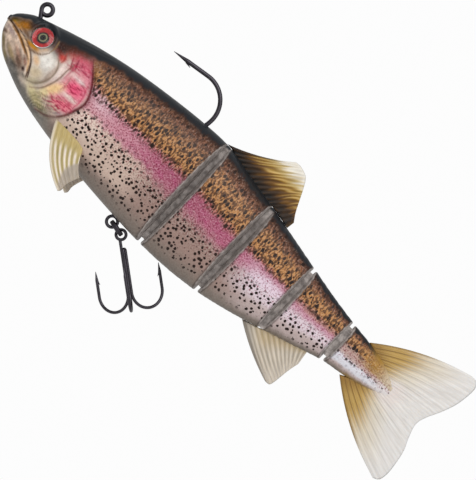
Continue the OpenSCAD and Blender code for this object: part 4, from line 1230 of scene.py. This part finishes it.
class SWIMBAIT_OT_joints(bpy.types.Operator):
    """Builds the soft web and the woven strip of each joint"""

    bl_idname = "swimbait.joints"
    bl_label = "Joint webs"

    def execute(self, context):
        thick = context.scene.swimbait_sizes.web_half_thickness / MM
        plastic = bpy.data.materials["painted_plastisol"]
        mesh = woven_mesh()
        for i, (joint_x, slant) in enumerate(JOINTS):
            web_low, web_high = (c.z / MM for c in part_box(f"joint_web_{i + 1}"))
            # The first two webs reach up to the back and are painted there
            to_back = i < 2
            web_high = float(outline(joint_x)[0]) + 0.05 if to_back else web_high + 0.3
            # The third reaches down to the belly
            if i == 2:
                web_low -= 1.6
            reach = WEB_HALF_LENGTH + thick * math.tan(math.radians(slant)) + 0.25

            def web_place(u, v):
                across, deep = rounded(u * 2 * math.pi, 0.4)
                # Rows lie closer towards both ends, so that the ends are square
                v = 0.5 - 0.5 * np.cos(math.pi * v)
                shut = np.clip(np.minimum(v, 1 - v) / 0.006, 0, 1) ** 0.5
                x = reach * across * shut
                waist = 1 - 0.22 * (1 - (x / reach) ** 2)
                y = thick * deep * waist * shut
                y = y * (1 + 0.05 * ripple(v * 60, u * 2, i))
                z = web_low + (web_high - web_low) * v
                return np.stack([joint_x + x, y, z], -1)

            def web_bare(x, y, z):
                return step(web_high - 0.6, web_high - 1.3, z) if to_back else np.ones(len(x))

            web = finished(f"soft_web_{i + 1}", warped_grid(64, 60, web_place), plastic)
            paint_skin(web, web_bare)
            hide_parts(f"joint_web_{i + 1}")
            low, high = (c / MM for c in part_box(f"mesh_tendon_{i + 1}"))

            def strip_place(u, v):
                across, deep = rounded(u * 2 * math.pi, 0.3)
                shut = np.clip(np.minimum(v, 1 - v) / 0.03, 0, 1) ** 0.5
                x = joint_x + (high.x - low.x) / 2 * across * (0.97 + 0.03 * shut)
                y = (high.y - low.y) / 2 * deep * shut
                y = y * (0.9 + 0.1 * np.cos(2 * math.pi * x / THREAD_PITCH))
                return np.stack([x, y, low.z + (high.z - low.z) * v], -1)

            strip = finished(f"woven_strip_{i + 1}", warped_grid(120, 40, strip_place), mesh)
            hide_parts(f"mesh_tendon_{i + 1}")
            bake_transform(web)
            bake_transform(strip)
        return {"FINISHED"}


class SWIMBAIT_OT_dorsal_fin(bpy.types.Operator):
    """Builds the dorsal fin, which reaches over the joint behind it"""

    bl_idname = "swimbait.dorsal_fin"
    bl_label = "Dorsal fin"

    def execute(self, context):
        sizes = context.scene.swimbait_sizes
        # The root is sunk in its own section, and lies along the backs of the sections at both ends
        roots = [
            (x, float(outline(x)[0]) + rise)
            for x, rise in (
                (67.4, 0.08), (68.6, 0.08), (69.8, 0.06), (72, -1), (80, -1.4), (88, -1.2), (89.8, -0.3),
                (90.5, 0.03), (91.6, 0.03), (93, 0.03), (95, 0.03), (97, 0.03), (98.2, 0.03),
            )
        ]
        tips = [
            (86.4, 18.35), (88.2, DORSAL_TOP), (90.6, 17.8), (92.1, 16.7), (93.7, 13.9), (95.2, 10.7),
            (96.9, 7.2), (98.6, 4.6),
        ]

        def bulge(u):
            return -1.0 * step(0.16, 0.0, u) + 0.7 * step(0.1, 0.25, u) * (1 - u)

        bm = fin_skin(
            170, 54, roots, tips, sizes.fin_thickness / MM, DORSAL_RAYS, sizes.ray_height / MM, bulge, 0.16
        )
        obj = finished("dorsal_fin_rays", bm, fin_plastic("golden_plastisol", 30.0, 0.1, 0.38))
        x, _, z = places(obj)
        paint_fin(obj, dorsal_colours(x, z, *fin_shares(obj), context.scene.swimbait_colours))
        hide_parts("dorsal_fin")
        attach(obj, "second_section")
        return {"FINISHED"}


class SWIMBAIT_OT_anal_fin(bpy.types.Operator):
    """Builds the anal fin, which reaches under the joint ahead of it"""

    bl_idname = "swimbait.anal_fin"
    bl_label = "Anal fin"

    def execute(self, context):
        sizes = context.scene.swimbait_sizes
        roots = [
            (x, float(outline(x)[1]) + rise)
            for x, rise in (
                (107.2, -0.04), (108.8, -0.04), (110.4, -0.04), (111.8, -0.04), (113, -0.04), (114.2, 0.3),
                (116, 0.9), (120, 1.3), (128.2, 1.6),
            )
        ]
        tips = [(125.3, -36.2), (126.9, -36.0), (127.5, -34.3), (127.8, -32), (128.3, -28.5), (129.0, -25.5)]

        def bulge(u):
            return -0.7 * (1 - u) ** 2

        bm = fin_skin(
            140, 54, roots, tips, sizes.fin_thickness / MM, ANAL_RAYS, sizes.ray_height / MM, bulge, 0.2
        )
        obj = finished("anal_fin_rays", bm, fin_plastic("cream_plastisol", 24.0, 0.1, 0.38))
        paint_fin(obj, anal_colours(*fin_shares(obj), context.scene.swimbait_colours))
        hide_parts("anal_fin")
        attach(obj, "fourth_section")
        return {"FINISHED"}


class SWIMBAIT_OT_tail_fin(bpy.types.Operator):
    """Builds the forked tail fin"""

    bl_idname = "swimbait.tail_fin"
    bl_label = "Tail fin"

    def execute(self, context):
        sizes = context.scene.swimbait_sizes
        roots = [
            (140.2, -5.9), (145, -8.6), (149, -10.8), (151, -12.6), (149, -14.6), (145, -16.6),
            (140.2, -19.2),
        ]
        tips = [
            (169.6, 8.0), (171.6, 7.9), (172.8, 6.6), (173.1, 4.2), (172.3, -1.2), (170.5, -6.1),
            (168.3, -10.6), (167.4, -14.2), (168.6, -18.5), (170.3, -22.6), (171.2, -27.3),
            (171.5, -31.2), (170.9, -33.9), (169.2, -35.0),
        ]

        def bulge(u):
            return 1.7 * (1 - 2 * u)

        ray_height = sizes.ray_height / MM * 0.5
        bm = fin_skin(300, 70, roots, tips, sizes.tail_thickness / MM, CAUDAL_RAYS, ray_height, bulge, 0.14)
        obj = finished("tail_fin_rays", bm, fin_plastic("clear_tail_plastisol", 46.0, 0.2, 0.36))
        paint_fin(obj, caudal_colours(*fin_shares(obj), context.scene.swimbait_colours))
        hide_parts("caudal_fin")
        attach(obj, "tail")
        return {"FINISHED"}


class SWIMBAIT_OT_pectoral_fins(bpy.types.Operator):
    """Builds both pectoral fins, splayed from the flanks"""

    bl_idname = "swimbait.pectoral_fins"
    bl_label = "Pectoral fins"

    def execute(self, context):
        sizes = context.scene.swimbait_sizes
        roots = [(25.9, -22.3), (29.5, -22.5), (33.5, -22.9), (38.0, -23.4)]
        tips = [(41.0, -37.6), (41.6, -36.6), (41.5, -34.6), (42.1, -32.2), (42.9, -30.2)]
        material = fin_plastic("olive_plastisol", 18.0, 0.1, 0.36)
        hinge_z = -22.8
        hinge_y = float(flank_y(31.9, hinge_z)) - 0.15
        splay = math.radians(14)
        ray_height = sizes.ray_height / MM * 1.5

        def bulge(u):
            return -1.6 * (1 - u) ** 1.2 - 0.7

        for name, side in SIDES.items():

            def set_out(x, y, z):
                drop = hinge_z - z
                out = hinge_y + drop * math.sin(splay) + y * math.cos(splay)
                # The root curls in to lie against the flank at both ends
                out = out - 0.35 * step(4, 0, drop) * ((x - 32) / 6) ** 2
                return np.stack([x, side * out, hinge_z - drop * math.cos(splay) + y * math.sin(splay)], -1)

            bm = fin_skin(
                120, 50, roots, tips, sizes.pectoral_thickness / MM, PECTORAL_RAYS, ray_height, bulge, 0.18,
                1.2, set_out,
            )
            obj = finished(f"pectoral_rays_{name}", bm, material)
            paint_fin(obj, pectoral_colours(*fin_shares(obj), context.scene.swimbait_colours))
            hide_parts(f"pectoral_fin_{name}")
            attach(obj, "head")
        return {"FINISHED"}


def refinish(node, material):
    """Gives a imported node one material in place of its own."""
    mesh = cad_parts[node].data
    mesh.materials.clear()
    mesh.materials.append(material)


class SWIMBAIT_OT_eyes(bpy.types.Operator):
    """Prints the foils and clears the lenses of both eyes"""

    bl_idname = "swimbait.eyes"
    bl_label = "Eyes"

    def execute(self, context):
        resin = eye_resin()
        for name, side in SIDES.items():
            refinish(f"eye_foil_{name}", printed_foil(name, side))
            refinish(f"eye_lens_{name}", resin)
        return {"FINISHED"}


class SWIMBAIT_OT_metalwork(bpy.types.Operator):
    """Plates the hooks, wires and ring, and finishes the lead"""

    bl_idname = "swimbait.metalwork"
    bl_label = "Hooks and lead"

    def execute(self, context):
        plate = black_nickel(context.scene.swimbait_colours)
        for node in ("jig_hook", "belly_wire", "split_ring", "treble_eyed_hook", "treble_double_hook"):
            refinish(node, plate)
        refinish("head_weight", cast_lead())
        return {"FINISHED"}


# The stage. What the lamps point at, and the middle of the floor
AIM = (85, 0, -12)
FLOOR_MIDDLE_X = 85
FLOOR_RADIUS = 170
# Brightness of the room behind the lure, as light and as the camera sees it
ROOM_LIGHT = 0.5
ROOM_SEEN = 0.98
# Each lamp's name, place, size in metres and power in watts
LAMPS = [
    ("key_panel", (40, -420, 330), 0.42, 1.15),
    ("fill_panel", (260, -300, 120), 0.35, 0.25),
]
# The camera looks along +Y, rolled so that the lure lies across the frame
CAMERA_PLACE = (89.9, -606, -10.8)
CAMERA_RIGHT = (0.725, 0, 0.688)
CAMERA_UP = (-0.688, 0, 0.725)
LENS = 150
SENSOR_WIDTH = 36


class SWIMBAIT_OT_stage(bpy.types.Operator):
    """Sets the floor, the soft light and the camera"""

    bl_idname = "swimbait.stage"
    bl_label = "Stage"

    def execute(self, context):
        scene = context.scene
        scene.view_settings.view_transform = "Standard"
        bm = bmesh.new()
        bmesh.ops.create_circle(bm, cap_ends=True, segments=96, radius=FLOOR_RADIUS * MM)
        middle = Vector((FLOOR_MIDDLE_X * MM, 0, -scene.swimbait_sizes.floor_drop))
        bmesh.ops.translate(bm, vec=middle, verts=bm.verts)
        material, tree, shader = new_finish("matt_white_paper", Roughness=0.9)
        where = add(tree, "TexCoord", out="Object")
        fibres = add(tree, "TexNoise", {"Vector": where, "Scale": 1 / (6 * MM), "Detail": 3.0})
        tones = {0: fibres, 6: full(colour("#F4F4F2")), 7: full(colour("#FAFAF9"))}
        feed(tree, shader, Base_Color=add(tree, "Mix", tones, 2, data_type="RGBA"))
        finished("floor", bm, material)
        world = bpy.data.worlds.new("pale_room")
        world.use_nodes = True
        room = world.node_tree
        seen = add(room, "LightPath", out="Is Camera Ray")
        strength = add(room, "MapRange", {0: seen, 3: ROOM_LIGHT, 4: ROOM_SEEN})
        backdrop = room.nodes["Background"]
        backdrop.inputs["Color"].default_value = full(colour("#FFFFFF"))
        feed(room, backdrop, Strength=strength)
        scene.world = world
        for name, place, size, power in LAMPS:
            light = bpy.data.lights.new(name, "AREA")
            light.size = size
            light.energy = power
            lamp = bpy.data.objects.new(name, light)
            way = Vector(AIM) - Vector(place)
            turn = way.to_track_quat("-Z", "Y").to_matrix().to_4x4()
            lamp.matrix_world = Matrix.Translation(Vector(place) * MM) @ turn
            scene.collection.objects.link(lamp)
        camera_data = bpy.data.cameras.new("camera")
        camera_data.lens = LENS
        camera_data.sensor_width = SENSOR_WIDTH
        camera = bpy.data.objects.new("camera", camera_data)
        right = Vector(CAMERA_RIGHT).normalized()
        up = Vector(CAMERA_UP).normalized()
        behind = Vector((0, -1, 0))
        turn = Matrix((right, up, behind)).transposed().to_4x4()
        camera.matrix_world = Matrix.Translation(Vector(CAMERA_PLACE) * MM) @ turn
        scene.collection.objects.link(camera)
        scene.camera = camera
        return {"FINISHED"}


class SWIMBAIT_PT_panel(bpy.types.Panel):
    """Lists the swimbait's pieces, sizes and colours"""

    bl_idname = "SWIMBAIT_PT_panel"
    bl_label = "Swimbait"
    bl_space_type = "VIEW_3D"
    bl_region_type = "UI"
    bl_category = "Swimbait"

    def draw(self, context):
        layout = self.layout
        for operator in OPERATORS:
            layout.operator(operator.bl_idname)
        for group in (context.scene.swimbait_sizes, context.scene.swimbait_colours):
            for name in group.bl_rna.properties.keys():
                if name not in ("rna_type", "name"):
                    layout.prop(group, name)


OPERATORS = (
    SWIMBAIT_OT_head,
    SWIMBAIT_OT_sections,
    SWIMBAIT_OT_joints,
    SWIMBAIT_OT_dorsal_fin,
    SWIMBAIT_OT_anal_fin,
    SWIMBAIT_OT_tail_fin,
    SWIMBAIT_OT_pectoral_fins,
    SWIMBAIT_OT_eyes,
    SWIMBAIT_OT_metalwork,
    SWIMBAIT_OT_stage,
)
CLASSES = (SwimbaitSizes, SwimbaitColours, *OPERATORS, SWIMBAIT_PT_panel)


def register():
    """Adds the classes, and the scene's sizes and colours."""
    for cls in CLASSES:
        bpy.utils.register_class(cls)
    bpy.types.Scene.swimbait_sizes = bpy.props.PointerProperty(type=SwimbaitSizes)
    bpy.types.Scene.swimbait_colours = bpy.props.PointerProperty(type=SwimbaitColours)


def unregister():
    """Removes what register added."""
    del bpy.types.Scene.swimbait_colours
    del bpy.types.Scene.swimbait_sizes
    for cls in reversed(CLASSES):
        bpy.utils.unregister_class(cls)


def main():
    register()
    bpy.ops.swimbait.head()
    bpy.ops.swimbait.sections()
    bpy.ops.swimbait.joints()
    bpy.ops.swimbait.dorsal_fin()
    bpy.ops.swimbait.anal_fin()
    bpy.ops.swimbait.tail_fin()
    bpy.ops.swimbait.pectoral_fins()
    bpy.ops.swimbait.eyes()
    bpy.ops.swimbait.metalwork()
    bpy.ops.swimbait.stage()


if __name__ == "__main__":
    main()
